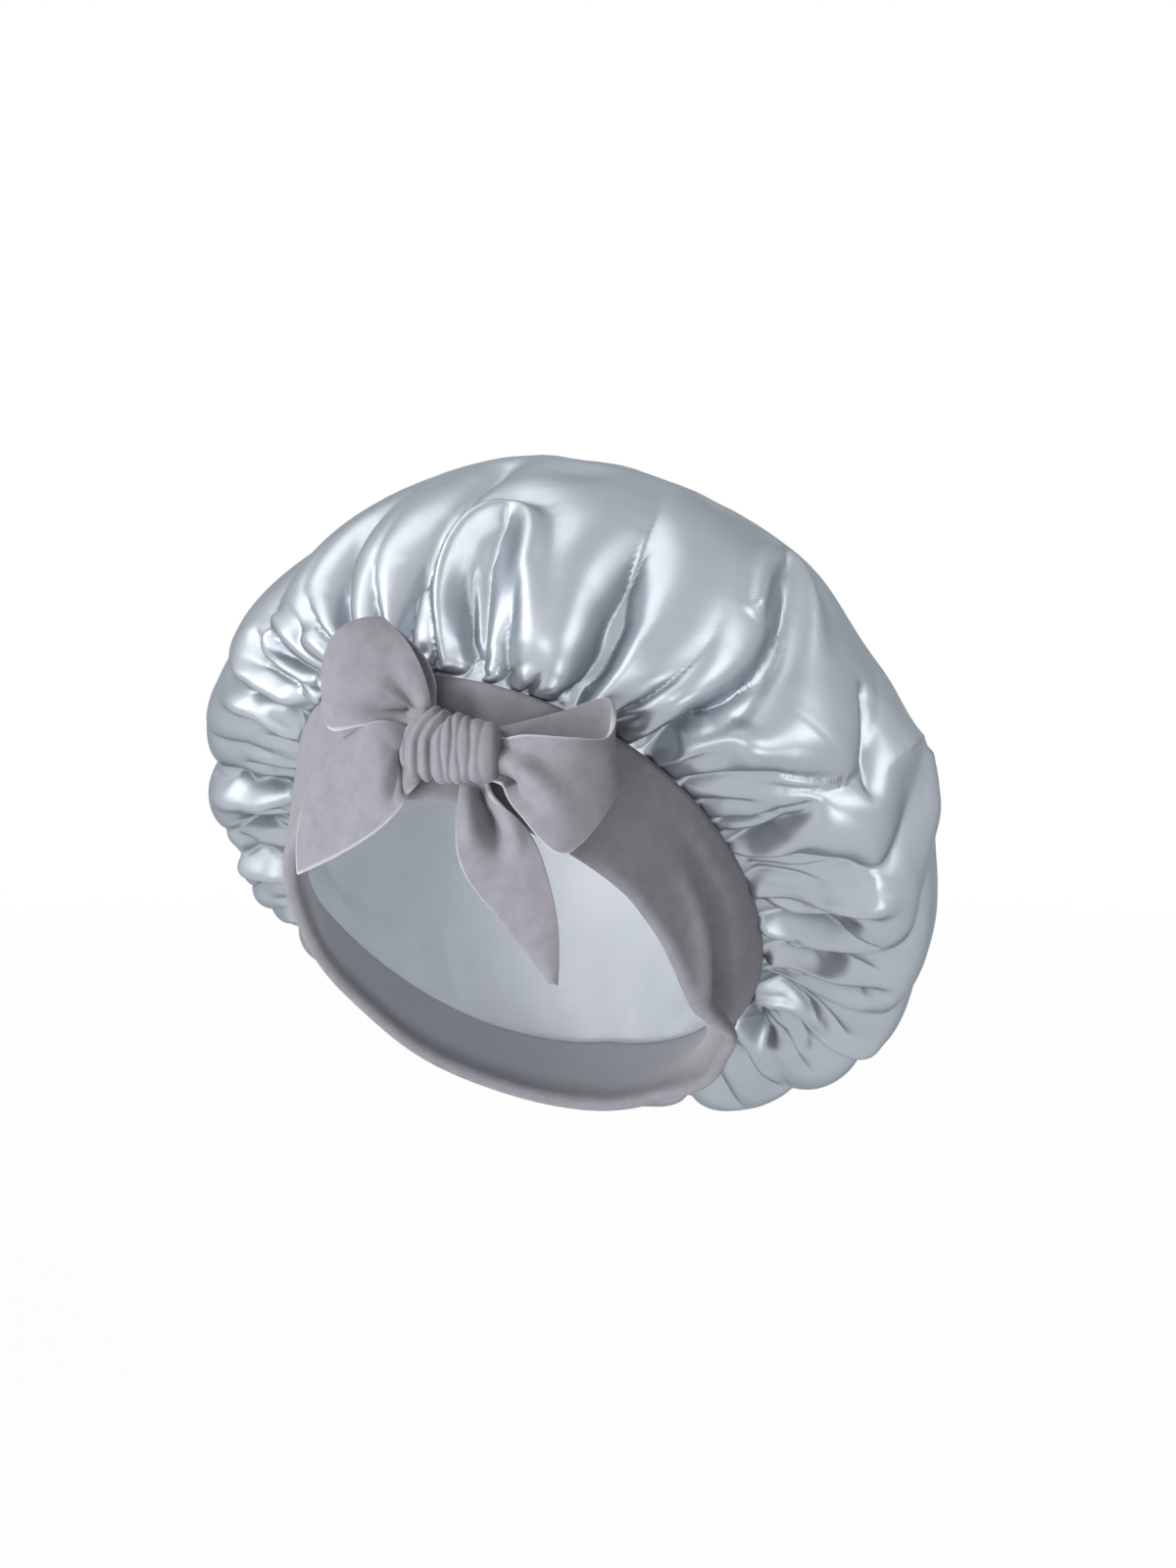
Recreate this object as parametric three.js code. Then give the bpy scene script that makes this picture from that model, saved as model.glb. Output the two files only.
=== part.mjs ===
// A satin hair bonnet with a knotted stretch band, in millimetres.
// +Z is up, the wearer faces -Y and the wearer's left is +X. The origin is the centre of the head opening.
// Each piece is drawn in the bonnet's own frame, in which the opening lies flat, the forehead is at -y, the nape
// at +y and the crown above. The whole bonnet is then leaned back, as it sits on a head.
import * as THREE from 'three';

// Head opening and band
const OPENING_WIDTH = 161; // rim, side to side, at the middle of the band's thickness
const OPENING_LENGTH = 201; // rim, forehead to nape
const LEAN_BACK = 49; // degrees from an opening that lies level
const BAND_WIDTH = 45; // folded rim to gathering seam
const BAND_FLARE_ENDS = 20; // how far the seam stands outside the rim at forehead and nape
const BAND_FLARE_SIDES = 6; // the same above the ears
const BAND_FLARE_RIGHT = 20; // further flare behind the wearer's right ear
const RIGHT_FLARE_FADE = [162, 208]; // degrees round the opening between which that flare runs out over the ear
const CASING_WALL = 1.3; // one ply of the brushed knit
const ELASTIC_THICKNESS = 1.6;
const SEAM_ALLOWANCE = 7; // satin edge caught inside the band
const FIT_GAP = 0.4; // between two plies that are sewn against each other

// Satin crown and lining
const SATIN = 1; // ply of satin with its drape, as a solid wall
const CROWN_WIDTH = 290; // widest, ear to ear
const CROWN_LENGTH = 262; // widest, forehead to nape
const EQUATOR_RISE = 40; // seam to the widest level
const DOME_HEIGHT = 117; // widest level to the top of the crown
const CROWN_LIFT = 5; // how high above the seam the crown turns from outwards to upwards
const CROWN_SAG = 42; // how far the loose cloth hangs at the nape
const SAG_TO_LEFT = 0.2; // share by which it hangs more on the wearer's left, and less on the right
const GATHERS = 34; // small folds drawn into the seam
const GATHER_DEPTH = 4; // ridge or valley from the mean surface, at the deepest gather
const GATHER_VARIETY = 0.25; // share by which the gathers' depths differ from their mean
const GATHER_END = 0.9; // level where a gather has run out; 1 is the widest level and 2 the top
const GATHER_END_VARIETY = 0.25;
const MAIN_FOLD_RIDGE = 0.6; // height of the ridge between two main folds, as a share of their depth
// Main folds, each a valley that runs up from the seam: degrees round the opening at the widest level, degrees by
// which it leans in a level, depth, and the level where it has run out. -90 is the forehead, 0 the wearer's left.
const MAIN_FOLDS = [
  [-66, -4, 8, 1.5], [-42, 3, 6, 1.45], [-22, 12, 6, 1.35], [-8, 0, 5.5, 1.25], [5, -14, 5, 1.25],
  [23, -14, 6, 1.3], [42, 0, 5, 1.25], [60, 6, 6, 1.35], [81, 3, 6, 1.45], [100, -3, 5, 1.35],
  [119, 4, 6, 1.5], [138, 0, 5, 1.3], [156, -3, 6, 1.4], [174, -3, 7, 1.45], [192, -8, 7, 1.4],
  [214, -14, 7, 1.35], [230, -15, 6, 1.35], [246, -10, 8, 1.45], [263, 0, 5, 1.4], [273, -7, 6, 1.3],
];
const LINING_GATHER_DEPTH = 1.5;
const LINING_LIFT = 26; // how high above the seam the lining turns, which leaves the band more steeply
const LINING_SAG = 4;
const LINING_INSET = 14.5; // mean surface of the crown to the lining, which clears the deepest fold

// Tie: a knot with two loops and two tails. The bow's own frame lies on the band's face, x along the knot.
const BOW_TURN = 8; // degrees round the band from the middle of the forehead, to the wearer's left
const BOW_TILT = 11; // degrees, the knot's left end up
const BOW_DROP = 3; // knot below the middle of the band
const ANCHOR_LENGTH = 30; // strip sewn to the band behind the knot
const ANCHOR_WIDTH = 18;
const ANCHOR_THICKNESS = 1.6;
const KNOT_LENGTH = 37; // along the band
const KNOT_HEIGHT = 29; // across the band
const KNOT_DEPTH = 15; // off the band
const KNOT_PLEATS = 7;
const PLEAT_DEPTH = 1.1;
const TIE_THICKNESS = 2.6; // two plies of knit, turned and pressed
const ROOT_RADIUS = 3.2; // gathered root of a loop or tail, where it leaves the knot
const ROOT_WIDTH = 16;
const ROOT_PRESS = 0.3; // share by which the knot presses a loop's root thinner
const LEFT_LOOP_LENGTH = 33;
const LEFT_LOOP_WIDTH = 38;
const LEFT_LOOP_LEVEL = 12; // its root above the middle of the knot
const RIGHT_LOOP_LENGTH = 33;
const RIGHT_LOOP_WIDTH = 43;
const RIGHT_LOOP_LEVEL = -5;
const RIGHT_LOOP_SPLAY = 12; // its back layer above its front layer
const RIGHT_LOOP_DROP = 12; // end of its front layer below its root
const RIGHT_LOOP_FALL = 8; // its tip towards the band
const TIP_NARROWING = 0.3; // share by which a loop narrows at its tip
const LOOP_OPENING = 10; // between the two layers of a loop
const LEFT_TAIL_LENGTH = 32;
const LEFT_TAIL_WIDTH = 46;
const LEFT_TAIL_LEVEL = -6;
const LEFT_TAIL_DROP = 14; // end of the tail below its root
const LEFT_TAIL_FALL = 10; // its end towards the band
const LEFT_TAIL_SLANT = 7; // its lower corner beyond the middle of its end
const CENTRE_TAIL_LENGTH = 60;
const CENTRE_TAIL_WIDTH = 28;
const CENTRE_TAIL_TIP = 4; // width at its point
const CENTRE_TAIL_CUP = 4; // its edges in front of its middle
const CENTRE_TAIL_SIDE = 8; // its root beside the middle of the knot
const CENTRE_TAIL_DRIFT = 24; // its point to the wearer's left of its root
const CENTRE_TAIL_FALL = 25; // its point in behind its root, as it hangs plumb over the leaning band

// Facets
const STRAP_SIDES = 12;
const TAIL_STEPS = 14;
const LOOP_STEPS = 24;
const ANCHOR_STEPS = 8;
const KNOT_SIDES = 18;
const KNOT_STEPS = 2; // per pleat

const TURN = 2 * Math.PI;
const STEPS = 2 * GATHERS; // round the opening, a ridge and a valley to each gather
const PLY = SATIN + FIT_GAP;
const slotWidth = Math.max(2 * PLY + FIT_GAP, ELASTIC_THICKNESS + 2 * FIT_GAP);
const bandThickness = slotWidth + 2 * CASING_WALL;
const knotMiddle = 2 * FIT_GAP + ANCHOR_THICKNESS + KNOT_DEPTH / 2; // off the band's face
const knotUp = BAND_WIDTH / 2 - BOW_DROP;
const bowAngle = THREE.MathUtils.degToRad(BOW_TURN - 90);
const vec = (x, y, z) => new THREE.Vector3(x, y, z);
const lean = THREE.MathUtils.degToRad(LEAN_BACK);
const plumb = vec(0, Math.sin(lean), -Math.cos(lean)); // straight down, in the bonnet's own frame
const smooth = (x, low, high) => THREE.MathUtils.smoothstep(x, low, high);

// Joins rings of points, each ring closed, into one closed surface that faces out.
// A looped loft runs back into its first ring; any other is capped by a fan at each end. From the turned span on, the
// squares between two rings are split the other way, so that the two faces of a cloth that turns back have like facets.
function loft(rings, { looped = false, startPole, endPole, turned = Infinity } = {}) {
  const count = rings[0].length;
  const points = rings.flat();
  const index = [];
  const spans = looped ? rings.length : rings.length - 1;
  for (let j = 0; j < spans; j++) {
    const row = j * count;
    const next = ((j + 1) % rings.length) * count;
    for (let i = 0; i < count; i++) {
      const k = (i + 1) % count;
      if (j < turned) index.push(row + i, row + k, next + k, row + i, next + k, next + i);
      else index.push(row + i, row + k, next + i, row + k, next + k, next + i);
    }
  }
  if (!looped) {
    const middle = (ring) => ring.reduce((sum, p) => sum.add(p), vec(0, 0, 0)).divideScalar(count);
    const start = points.push(startPole ?? middle(rings[0])) - 1;
    const end = points.push(endPole ?? middle(rings.at(-1))) - 1;
    const last = (rings.length - 1) * count;
    for (let i = 0; i < count; i++) {
      const k = (i + 1) % count;
      index.push(start, k, i, end, last + i, last + k);
    }
  }
  return facingOut(points, index);
}

function facingOut(points, index) {
  let volume = 0;
  for (let i = 0; i < index.length; i += 3) {
    const [a, b, c] = [points[index[i]], points[index[i + 1]], points[index[i + 2]]];
    volume += a.dot(vec(0, 0, 0).crossVectors(b, c));
  }
  const geometry = new THREE.BufferGeometry().setFromPoints(points);
  geometry.setIndex(volume > 0 ? index : index.reverse());
  geometry.computeVertexNormals();
  return geometry;
}

function piece(name, geometry, material) {
  const mesh = new THREE.Mesh(geometry, material);
  mesh.name = name;
  return mesh;
}

const satin = new THREE.MeshStandardMaterial({ color: 0xa9b3bb, roughness: 0.3, metalness: 0 });
const liningSatin = new THREE.MeshStandardMaterial({ color: 0xb9c2c9, roughness: 0.5, metalness: 0 });
const brushedKnit = new THREE.MeshStandardMaterial({ color: 0x85828b, roughness: 0.9, metalness: 0 });
const wovenElastic = new THREE.MeshStandardMaterial({ color: 0xe8e6e2, roughness: 0.8, metalness: 0 });

// The band is a wall that leans out from the rim, most from the nape to the wearer's right ear. A place on it is given
// by the angle round the opening, the distance up from the rim and the distance off the middle of its thickness.
function bandTilt(angle) {
  const ends = Math.sin(angle) ** 2;
  const degrees = THREE.MathUtils.euclideanModulo(THREE.MathUtils.radToDeg(angle), 360);
  const right = Math.max(-Math.cos(angle), 0) * (1 - smooth(degrees, ...RIGHT_FLARE_FADE));
  const flare = THREE.MathUtils.lerp(BAND_FLARE_SIDES, BAND_FLARE_ENDS, ends) + BAND_FLARE_RIGHT * right;
  return Math.asin(flare / BAND_WIDTH);
}

function bandPoint(angle, up, off) {
  const tilt = bandTilt(angle);
  const out = up * Math.sin(tilt) + off * Math.cos(tilt);
  const height = up * Math.cos(tilt) - off * Math.sin(tilt);
  const x = (OPENING_WIDTH / 2 + out) * Math.cos(angle);
  const y = (OPENING_LENGTH / 2 + out) * Math.sin(angle);
  return vec(x, y, height);
}

// Sweeps a section, given as [up, off] pairs, round the opening.
function bandSweep(section) {
  const rings = [];
  for (let i = 0; i < STEPS; i++) {
    const angle = (i / STEPS) * TURN;
    rings.push(section.map(([up, off]) => bandPoint(angle, up, off)));
  }
  return loft(rings, { looped: true });
}

// A strip of knit folded in half along the rim, with its two edges up at the seam.
function bandCasing() {
  const outside = bandThickness / 2;
  const inside = slotWidth / 2;
  const fold = [45, 90, 135].map((degrees) => {
    const turn = THREE.MathUtils.degToRad(degrees);
    return [outside * (1 - Math.sin(turn)), outside * Math.cos(turn)];
  });
  const section = [
    [BAND_WIDTH, outside], [BAND_WIDTH / 2, outside], [outside, outside],
    ...fold,
    [outside, -outside], [BAND_WIDTH / 2, -outside], [BAND_WIDTH, -outside],
    [BAND_WIDTH, -inside], [outside, -inside], [outside, inside], [BAND_WIDTH, inside],
  ];
  return piece('band_casing', bandSweep(section), brushedKnit);
}

// Flat elastic that lies in the fold, below the satin edges.
function bandElastic() {
  const low = bandThickness / 2 + FIT_GAP;
  const high = BAND_WIDTH - SEAM_ALLOWANCE - FIT_GAP;
  const half = ELASTIC_THICKNESS / 2;
  return piece('band_elastic', bandSweep([[low, -half], [low, half], [high, half], [high, -half]]), wovenElastic);
}

// Mean surface of a gathered bag, which stands up out of the band as far as its exit. The level runs from -1 at the
// satin's cut edge, 0 where it leaves the band and 1 at the widest level, to 2 at the top.
function bagSurface({ width, length, dome, lift, sag, exit, off }) {
  const widest = BAND_WIDTH + EQUATOR_RISE;
  const shape = (angle, level) => {
    if (level <= 0) {
      return bandPoint(angle, THREE.MathUtils.lerp(exit, BAND_WIDTH - SEAM_ALLOWANCE, -level), off);
    }
    const equator = vec((width / 2) * Math.cos(angle), (length / 2) * Math.sin(angle), widest);
    if (level <= 1) {
      const seam = bandPoint(angle, exit, off);
      const turn = vec(equator.x, equator.y, seam.z + lift);
      return new THREE.QuadraticBezierCurve3(seam, turn, equator).getPoint(level);
    }
    const climb = ((level - 1) * Math.PI) / 2;
    const shrink = Math.cos(climb);
    return vec(equator.x * shrink, equator.y * shrink, widest + dome * Math.sin(climb));
  };
  // The slack hangs plumb: none at the forehead, most at the nape.
  const slack = (angle, level) => {
    const low = ((1 + Math.sin(angle)) / 2) * (1 + SAG_TO_LEFT * Math.cos(angle));
    return sag * low * smooth(level, 0, 0.9) * (1 - smooth(level, 1.1, 2));
  };
  return (angle, level) => shape(angle, level).addScaledVector(plumb, slack(angle, level));
}

function surfaceNormal(surface, angle, level) {
  const step = 0.01;
  const around = surface(angle + step, level).sub(surface(angle - step, level));
  const along = surface(angle, level + step).sub(surface(angle, level - step));
  return around.cross(along).normalize();
}

// Height of the main folds over the mean surface: a rounded ridge between each two valleys.
function mainFold(angle, level) {
  const degrees = THREE.MathUtils.radToDeg(angle);
  const around = (gap) => THREE.MathUtils.euclideanModulo(gap, 360);
  const folds = MAIN_FOLDS.map(([at, leans, depth, end]) => {
    const valley = at + leans * (Math.min(level, 1.5) - 1);
    return { past: around(degrees - valley), ahead: around(valley - degrees), depth, end };
  });
  const before = folds.reduce((a, b) => (b.past < a.past ? b : a));
  const after = folds.reduce((a, b) => (b.ahead < a.ahead ? b : a));
  const share = before === after ? 0 : before.past / (before.past + after.ahead);
  const depth = THREE.MathUtils.lerp(before.depth, after.depth, share);
  const end = THREE.MathUtils.lerp(before.end, after.end, share);
  const ridge = Math.sin(Math.PI * share) ** 0.8;
  const height = depth * ((1 + MAIN_FOLD_RIDGE) * ridge - 1);
  return height * smooth(level, 0.05, 0.6) * (1 - smooth(level, 0.9, end));
}

// A gathered bag of cloth: ridges and valleys take turns round it, and each pair runs its own length up the crown.
// Larger folds can be given on top.
function gatheredBag(surface, levels, depth, larger = () => 0) {
  const fold = (i, level) => {
    const nth = Math.floor(i / 2);
    const end = GATHER_END + GATHER_END_VARIETY * Math.sin(2.4 * nth);
    const strength = 1 - GATHER_VARIETY + GATHER_VARIETY * Math.sin(4.1 * nth + 1);
    const wave = i % 2 ? -1 : 1;
    return depth * strength * wave * smooth(level, 0, 0.3) * (1 - smooth(level, 0.3, end));
  };
  const wall = (side) => levels.map((level) => Array.from({ length: STEPS }, (_, i) => {
    const angle = (i / STEPS) * TURN;
    const normal = surfaceNormal(surface, angle, level);
    const height = fold(i, level) + larger(angle, level);
    return surface(angle, level).addScaledVector(normal, height + (side * SATIN) / 2);
  }));
  const top = surface(0, 2);
  return loft([...wall(1).reverse(), ...wall(-1)], {
    turned: levels.length,
    startPole: top.clone().add(vec(0, 0, SATIN / 2)),
    endPole: top.clone().add(vec(0, 0, -SATIN / 2)),
  });
}

function satinCrown() {
  const surface = bagSurface({
    width: CROWN_WIDTH,
    length: CROWN_LENGTH,
    dome: DOME_HEIGHT,
    lift: CROWN_LIFT,
    sag: CROWN_SAG,
    exit: BAND_WIDTH + PLY,
    off: PLY / 2,
  });
  const levels = [-1, 0, 0.2, 0.45, 0.8, 1.12, 1.4, 1.66, 1.86];
  const geometry = gatheredBag(surface, levels, GATHER_DEPTH, mainFold);
  return piece('satin_crown', geometry, satin);
}

function satinLining() {
  const surface = bagSurface({
    width: CROWN_WIDTH - 2 * LINING_INSET,
    length: CROWN_LENGTH - 2 * LINING_INSET,
    dome: DOME_HEIGHT - LINING_INSET,
    lift: LINING_LIFT,
    sag: LINING_SAG,
    exit: BAND_WIDTH + 2 * PLY,
    off: -PLY / 2,
  });
  const levels = [-1, 0, 0.3, 0.65, 1, 1.25, 1.5, 1.72, 1.88];
  const geometry = gatheredBag(surface, levels, LINING_GATHER_DEPTH);
  return piece('satin_lining', geometry, liningSatin);
}

// Frame on the band's outer face under the knot: x along the band to the wearer's left, y up across the band and
// z straight off it.
function bowFrame() {
  const at = (turn, up) => bandPoint(bowAngle + turn, up, bandThickness / 2);
  const nudge = 0.01;
  const along = at(nudge, knotUp).sub(at(-nudge, knotUp)).normalize();
  const up = at(0, BAND_WIDTH).sub(at(0, 0)).normalize();
  const off = vec(0, 0, 0).crossVectors(along, up).normalize();
  const group = new THREE.Group();
  group.matrix.makeBasis(along, vec(0, 0, 0).crossVectors(off, along), off);
  group.matrix.setPosition(at(0, knotUp));
  group.matrix.decompose(group.position, group.quaternion, group.scale);
  group.rotateZ(THREE.MathUtils.degToRad(BOW_TILT));
  return group;
}

// Strip of the tie that is sewn flat to the band and carries the knot.
function tieAnchor() {
  const low = knotUp - ANCHOR_WIDTH / 2;
  const high = knotUp + ANCHOR_WIDTH / 2;
  const under = bandThickness / 2 + FIT_GAP;
  const over = under + ANCHOR_THICKNESS;
  const halfTurn = ANCHOR_LENGTH / 2 / (OPENING_WIDTH / 2 + BAND_FLARE_ENDS / 2);
  const rings = [];
  for (let i = 0; i <= ANCHOR_STEPS; i++) {
    const angle = bowAngle + ((2 * i) / ANCHOR_STEPS - 1) * halfTurn;
    const section = [[low, under], [high, under], [high, over], [low, over]];
    rings.push(section.map(([up, off]) => bandPoint(angle, up, off)));
  }
  return piece('tie_anchor', loft(rings), brushedKnit);
}

// The tie wrapped once round itself: its cloth is drawn into pleats that run across the band.
function tieKnot() {
  const rings = [];
  const steps = KNOT_PLEATS * KNOT_STEPS;
  for (let i = 0; i <= steps; i++) {
    const share = i / steps;
    const along = (share - 0.5) * KNOT_LENGTH;
    const swell = 0.86 + 0.14 * Math.sin(Math.PI * share);
    const pleat = PLEAT_DEPTH * (0.5 - 0.5 * Math.cos(share * KNOT_PLEATS * TURN)) - PLEAT_DEPTH;
    const height = (KNOT_HEIGHT / 2) * swell + pleat;
    const depth = (KNOT_DEPTH / 2) * swell + pleat;
    rings.push(Array.from({ length: KNOT_SIDES }, (_, k) => {
      const turn = (k / KNOT_SIDES) * TURN;
      return vec(along, height * Math.cos(turn), knotMiddle + depth * Math.sin(turn));
    }));
  }
  return piece('tie_knot', loft(rings), brushedKnit);
}

// A flat tube of knit along a curve that starts at the frame's y axis and runs out along x. Its width lies along y.
// Width and thickness follow the reach, which is the distance out along x; the cup moves the two edges off the
// middle, and the slant moves them along the curve, as at an end that is cut askew or rounded.
function strap(curve, { looped = false, steps, width, thickness, cup = () => 0, slant = () => 0 }) {
  const rings = [];
  const across = vec(0, 1, 0);
  const count = looped ? steps : steps + 1;
  for (let i = 0; i < count; i++) {
    const middle = curve.getPoint(i / steps);
    const tangent = curve.getTangent(i / steps);
    const face = vec(0, 0, 0).crossVectors(tangent, across).normalize();
    const reach = middle.x;
    rings.push(Array.from({ length: STRAP_SIDES }, (_, k) => {
      const turn = (k / STRAP_SIDES) * TURN;
      const side = Math.sign(Math.cos(turn)) * Math.abs(Math.cos(turn)) ** 0.8;
      const depth = Math.sign(Math.sin(turn)) * Math.abs(Math.sin(turn)) ** 0.7;
      return middle.clone()
        .addScaledVector(across, (side * width(reach)) / 2)
        .addScaledVector(face, (depth * thickness(reach)) / 2 + cup(reach) * side ** 2)
        .addScaledVector(tangent, slant(reach, side));
    }));
  }
  return loft(rings, { looped });
}

// Width of a strap that is gathered at its root and fans out to its full width.
const fan = (full, spread) => (reach) => THREE.MathUtils.lerp(ROOT_WIDTH, full, smooth(reach, 0, spread));

// Thickness of a tail: round about the hinge line at its root, then flat.
function tailThickness(reach) {
  const short = Math.max(-reach, 0);
  const round = 2 * Math.sqrt(Math.max(ROOT_RADIUS ** 2 - short ** 2, 0.1));
  return THREE.MathUtils.lerp(round, TIE_THICKNESS, smooth(reach, 0, 3 * ROOT_RADIUS));
}

// A loop: the strap leaves its root, turns back at its tip and comes home behind. The drop lowers its front layer,
// the splay shows its back layer above that, and the fall takes its tip towards the band.
function loopStrap(name, { length, width, spread, drop = 0, splay = 0, fall = 0 }) {
  const turn = ROOT_RADIUS - TIE_THICKNESS / 2;
  const half = LOOP_OPENING / 2;
  const front = (share) => vec(length * share, -drop * share, half - fall * share ** 2);
  const back = (share) => vec(length * share, (splay - drop) * share, -half - fall * share ** 2);
  const tip = vec(length - TIE_THICKNESS / 2, splay / 2 - drop, -fall);
  const path = [vec(-turn, 0, 0), vec(0, 0, turn), front(0.4), front(0.8), tip, back(0.8), back(0.4), vec(0, 0, -turn)];
  const full = fan(width, spread);
  const geometry = strap(new THREE.CatmullRomCurve3(path, true), {
    looped: true,
    steps: LOOP_STEPS,
    width: (reach) => full(reach) * (1 - TIP_NARROWING * smooth(reach, length * 0.7, length)),
    thickness: (reach) => TIE_THICKNESS * (1 - ROOT_PRESS * (1 - smooth(reach, -turn, ROOT_RADIUS))),
  });
  return piece(name, geometry, brushedKnit);
}

function tailStrap(name, { points, width, cup, slant }) {
  const path = [vec(-ROOT_RADIUS * 0.9, 0, 0), vec(0, 0, 0), ...points];
  const geometry = strap(new THREE.CatmullRomCurve3(path), {
    steps: TAIL_STEPS, width, thickness: tailThickness, cup, slant,
  });
  return piece(name, geometry, brushedKnit);
}

// Hinge frame of a loop or tail on the bow: its origin is on the hinge line, x runs out along the strap and the
// hinge line is y, both turned in the bow's face.
function hinge(x, y, z, degrees, mesh) {
  const group = new THREE.Group();
  group.position.set(x, y, z);
  group.rotation.z = THREE.MathUtils.degToRad(degrees);
  group.add(mesh);
  return group;
}

function bow() {
  const group = bowFrame();
  const clear = ROOT_RADIUS + FIT_GAP;
  const side = KNOT_LENGTH / 2 + clear;
  const beside = KNOT_LENGTH / 2 + FIT_GAP + ROOT_WIDTH / 2;
  const below = KNOT_HEIGHT / 2 + clear;
  group.add(tieKnot());

  const loopLeft = loopStrap('tie_loop_left', {
    length: LEFT_LOOP_LENGTH, width: LEFT_LOOP_WIDTH, spread: LEFT_LOOP_LENGTH / 2,
  });
  group.add(hinge(-beside, LEFT_LOOP_LEVEL, knotMiddle, 90, loopLeft));

  const loopRight = loopStrap('tie_loop_right', {
    length: RIGHT_LOOP_LENGTH,
    width: RIGHT_LOOP_WIDTH,
    spread: RIGHT_LOOP_LENGTH,
    drop: RIGHT_LOOP_DROP,
    splay: RIGHT_LOOP_SPLAY,
    fall: RIGHT_LOOP_FALL,
  });
  group.add(hinge(side, RIGHT_LOOP_LEVEL, knotMiddle, 0, loopRight));

  const droop = (share) => vec(
    LEFT_TAIL_LENGTH * share, LEFT_TAIL_DROP * share ** 1.5, -LEFT_TAIL_FALL * share ** 2,
  );
  const tailLeft = tailStrap('tie_tail_left', {
    points: [0.3, 0.6, 1].map(droop),
    width: fan(LEFT_TAIL_WIDTH, LEFT_TAIL_LENGTH),
    slant: (reach, across) => LEFT_TAIL_SLANT * across * smooth(reach, 0, LEFT_TAIL_LENGTH),
  });
  group.add(hinge(-side, LEFT_TAIL_LEVEL, knotMiddle, 180, tailLeft));

  const hang = (share) => vec(
    CENTRE_TAIL_LENGTH * share, CENTRE_TAIL_DRIFT * share ** 0.9, -CENTRE_TAIL_FALL * share ** 1.5,
  );
  const tailCentre = tailStrap('tie_tail_centre', {
    points: [0.2, 0.45, 0.7, 1].map(hang),
    width: (reach) => {
      const gathered = fan(CENTRE_TAIL_WIDTH, CENTRE_TAIL_LENGTH * 0.25)(reach);
      const pointed = smooth(reach, CENTRE_TAIL_LENGTH * 0.4, CENTRE_TAIL_LENGTH);
      return THREE.MathUtils.lerp(gathered, CENTRE_TAIL_TIP, pointed);
    },
    cup: (reach) => CENTRE_TAIL_CUP * smooth(reach, 0, CENTRE_TAIL_LENGTH * 0.3),
  });
  group.add(hinge(CENTRE_TAIL_SIDE, -below, knotMiddle, -90, tailCentre));
  return group;
}

const bonnet = new THREE.Group();
bonnet.rotation.x = -lean;
bonnet.add(satinCrown(), satinLining(), bandCasing(), bandElastic(), tieAnchor(), bow());
bonnet.updateMatrixWorld(true);

export default bonnet;
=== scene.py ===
"""Looks of a satin hair bonnet with a knotted stretch band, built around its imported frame.

Lengths are in metres. In the bonnet's own frame the head opening lies level, with the forehead at -y, the
nape at +y, the wearer's left at +x and the crown above. The whole bonnet then leans back, as it sits on a
head.
"""

from __future__ import annotations

import logging
import math
from collections.abc import Callable, Sequence
from dataclasses import dataclass
from enum import Enum

import bmesh
import bpy
import numpy as np
from bmesh.types import BMesh
from bpy.types import Material, Node, NodeSocket, NodeTree, Object
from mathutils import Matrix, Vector
from mathutils.bvhtree import BVHTree

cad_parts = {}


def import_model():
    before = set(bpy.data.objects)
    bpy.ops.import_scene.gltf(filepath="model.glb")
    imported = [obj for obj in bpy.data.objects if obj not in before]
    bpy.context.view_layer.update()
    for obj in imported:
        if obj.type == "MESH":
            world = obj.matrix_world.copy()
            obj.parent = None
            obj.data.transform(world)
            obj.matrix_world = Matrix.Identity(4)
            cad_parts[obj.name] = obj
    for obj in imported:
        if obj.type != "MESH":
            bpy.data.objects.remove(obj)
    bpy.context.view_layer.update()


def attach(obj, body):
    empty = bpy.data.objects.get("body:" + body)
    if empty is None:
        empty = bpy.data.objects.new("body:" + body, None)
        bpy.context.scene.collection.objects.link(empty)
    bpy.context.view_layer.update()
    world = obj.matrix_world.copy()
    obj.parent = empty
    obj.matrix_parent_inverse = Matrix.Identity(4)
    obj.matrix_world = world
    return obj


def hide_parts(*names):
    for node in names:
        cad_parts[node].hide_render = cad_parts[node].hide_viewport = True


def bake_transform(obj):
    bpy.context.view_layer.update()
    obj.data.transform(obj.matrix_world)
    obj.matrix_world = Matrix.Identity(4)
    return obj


LOG = logging.getLogger("bonnet")
MM = 0.001
TURN = 2 * math.pi

# Widths of the rounds of cloth that the bags were cut from
CROWN_CUT = 560 * MM
LINING_CUT = 420 * MM

# Attribute for painted light: a painted highlight on rolled and sewn edges, painted light on the band's
# inside
PAINTED_LIGHT_ATTRIBUTE = "edge"

# Points on the line that a crease is drawn along
SPINE_POINTS = 56

Array = np.ndarray
Place = Callable[[Array], Array]
Surface = Callable[[Array, Array], Array]
Point = tuple[float, float, float]
Span = tuple[float, float]


class Body(Enum):
    """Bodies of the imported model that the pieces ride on."""

    BONNET = "bonnet"
    LOOP_LEFT = "loop_left"
    LOOP_RIGHT = "loop_right"
    TAIL_LEFT = "tail_left"
    TAIL_CENTRE = "tail_centre"


class Slot(Enum):
    """Material slots of the record."""

    SATIN = "satin"
    LINING = "lining_satin"
    KNIT = "brushed_knit"
    ELASTIC = "woven_elastic"


def ramp(value: Array | float, low: float, high: float) -> Array:
    """Eases from 0 at low to 1 at high."""
    share = np.clip((np.asarray(value, float) - low) / (high - low), 0, 1)
    return share * share * (3 - 2 * share)


def mix(start: Array | float, end: Array | float, share: Array | float) -> Array:
    """Goes straight from start to end as share goes from 0 to 1."""
    return start + (np.asarray(end) - start) * share


def unit(vectors: Array) -> Array:
    """Scales each vector to a length of 1."""
    return vectors / np.maximum(np.linalg.norm(vectors, axis=-1, keepdims=True), 1e-12)


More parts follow.
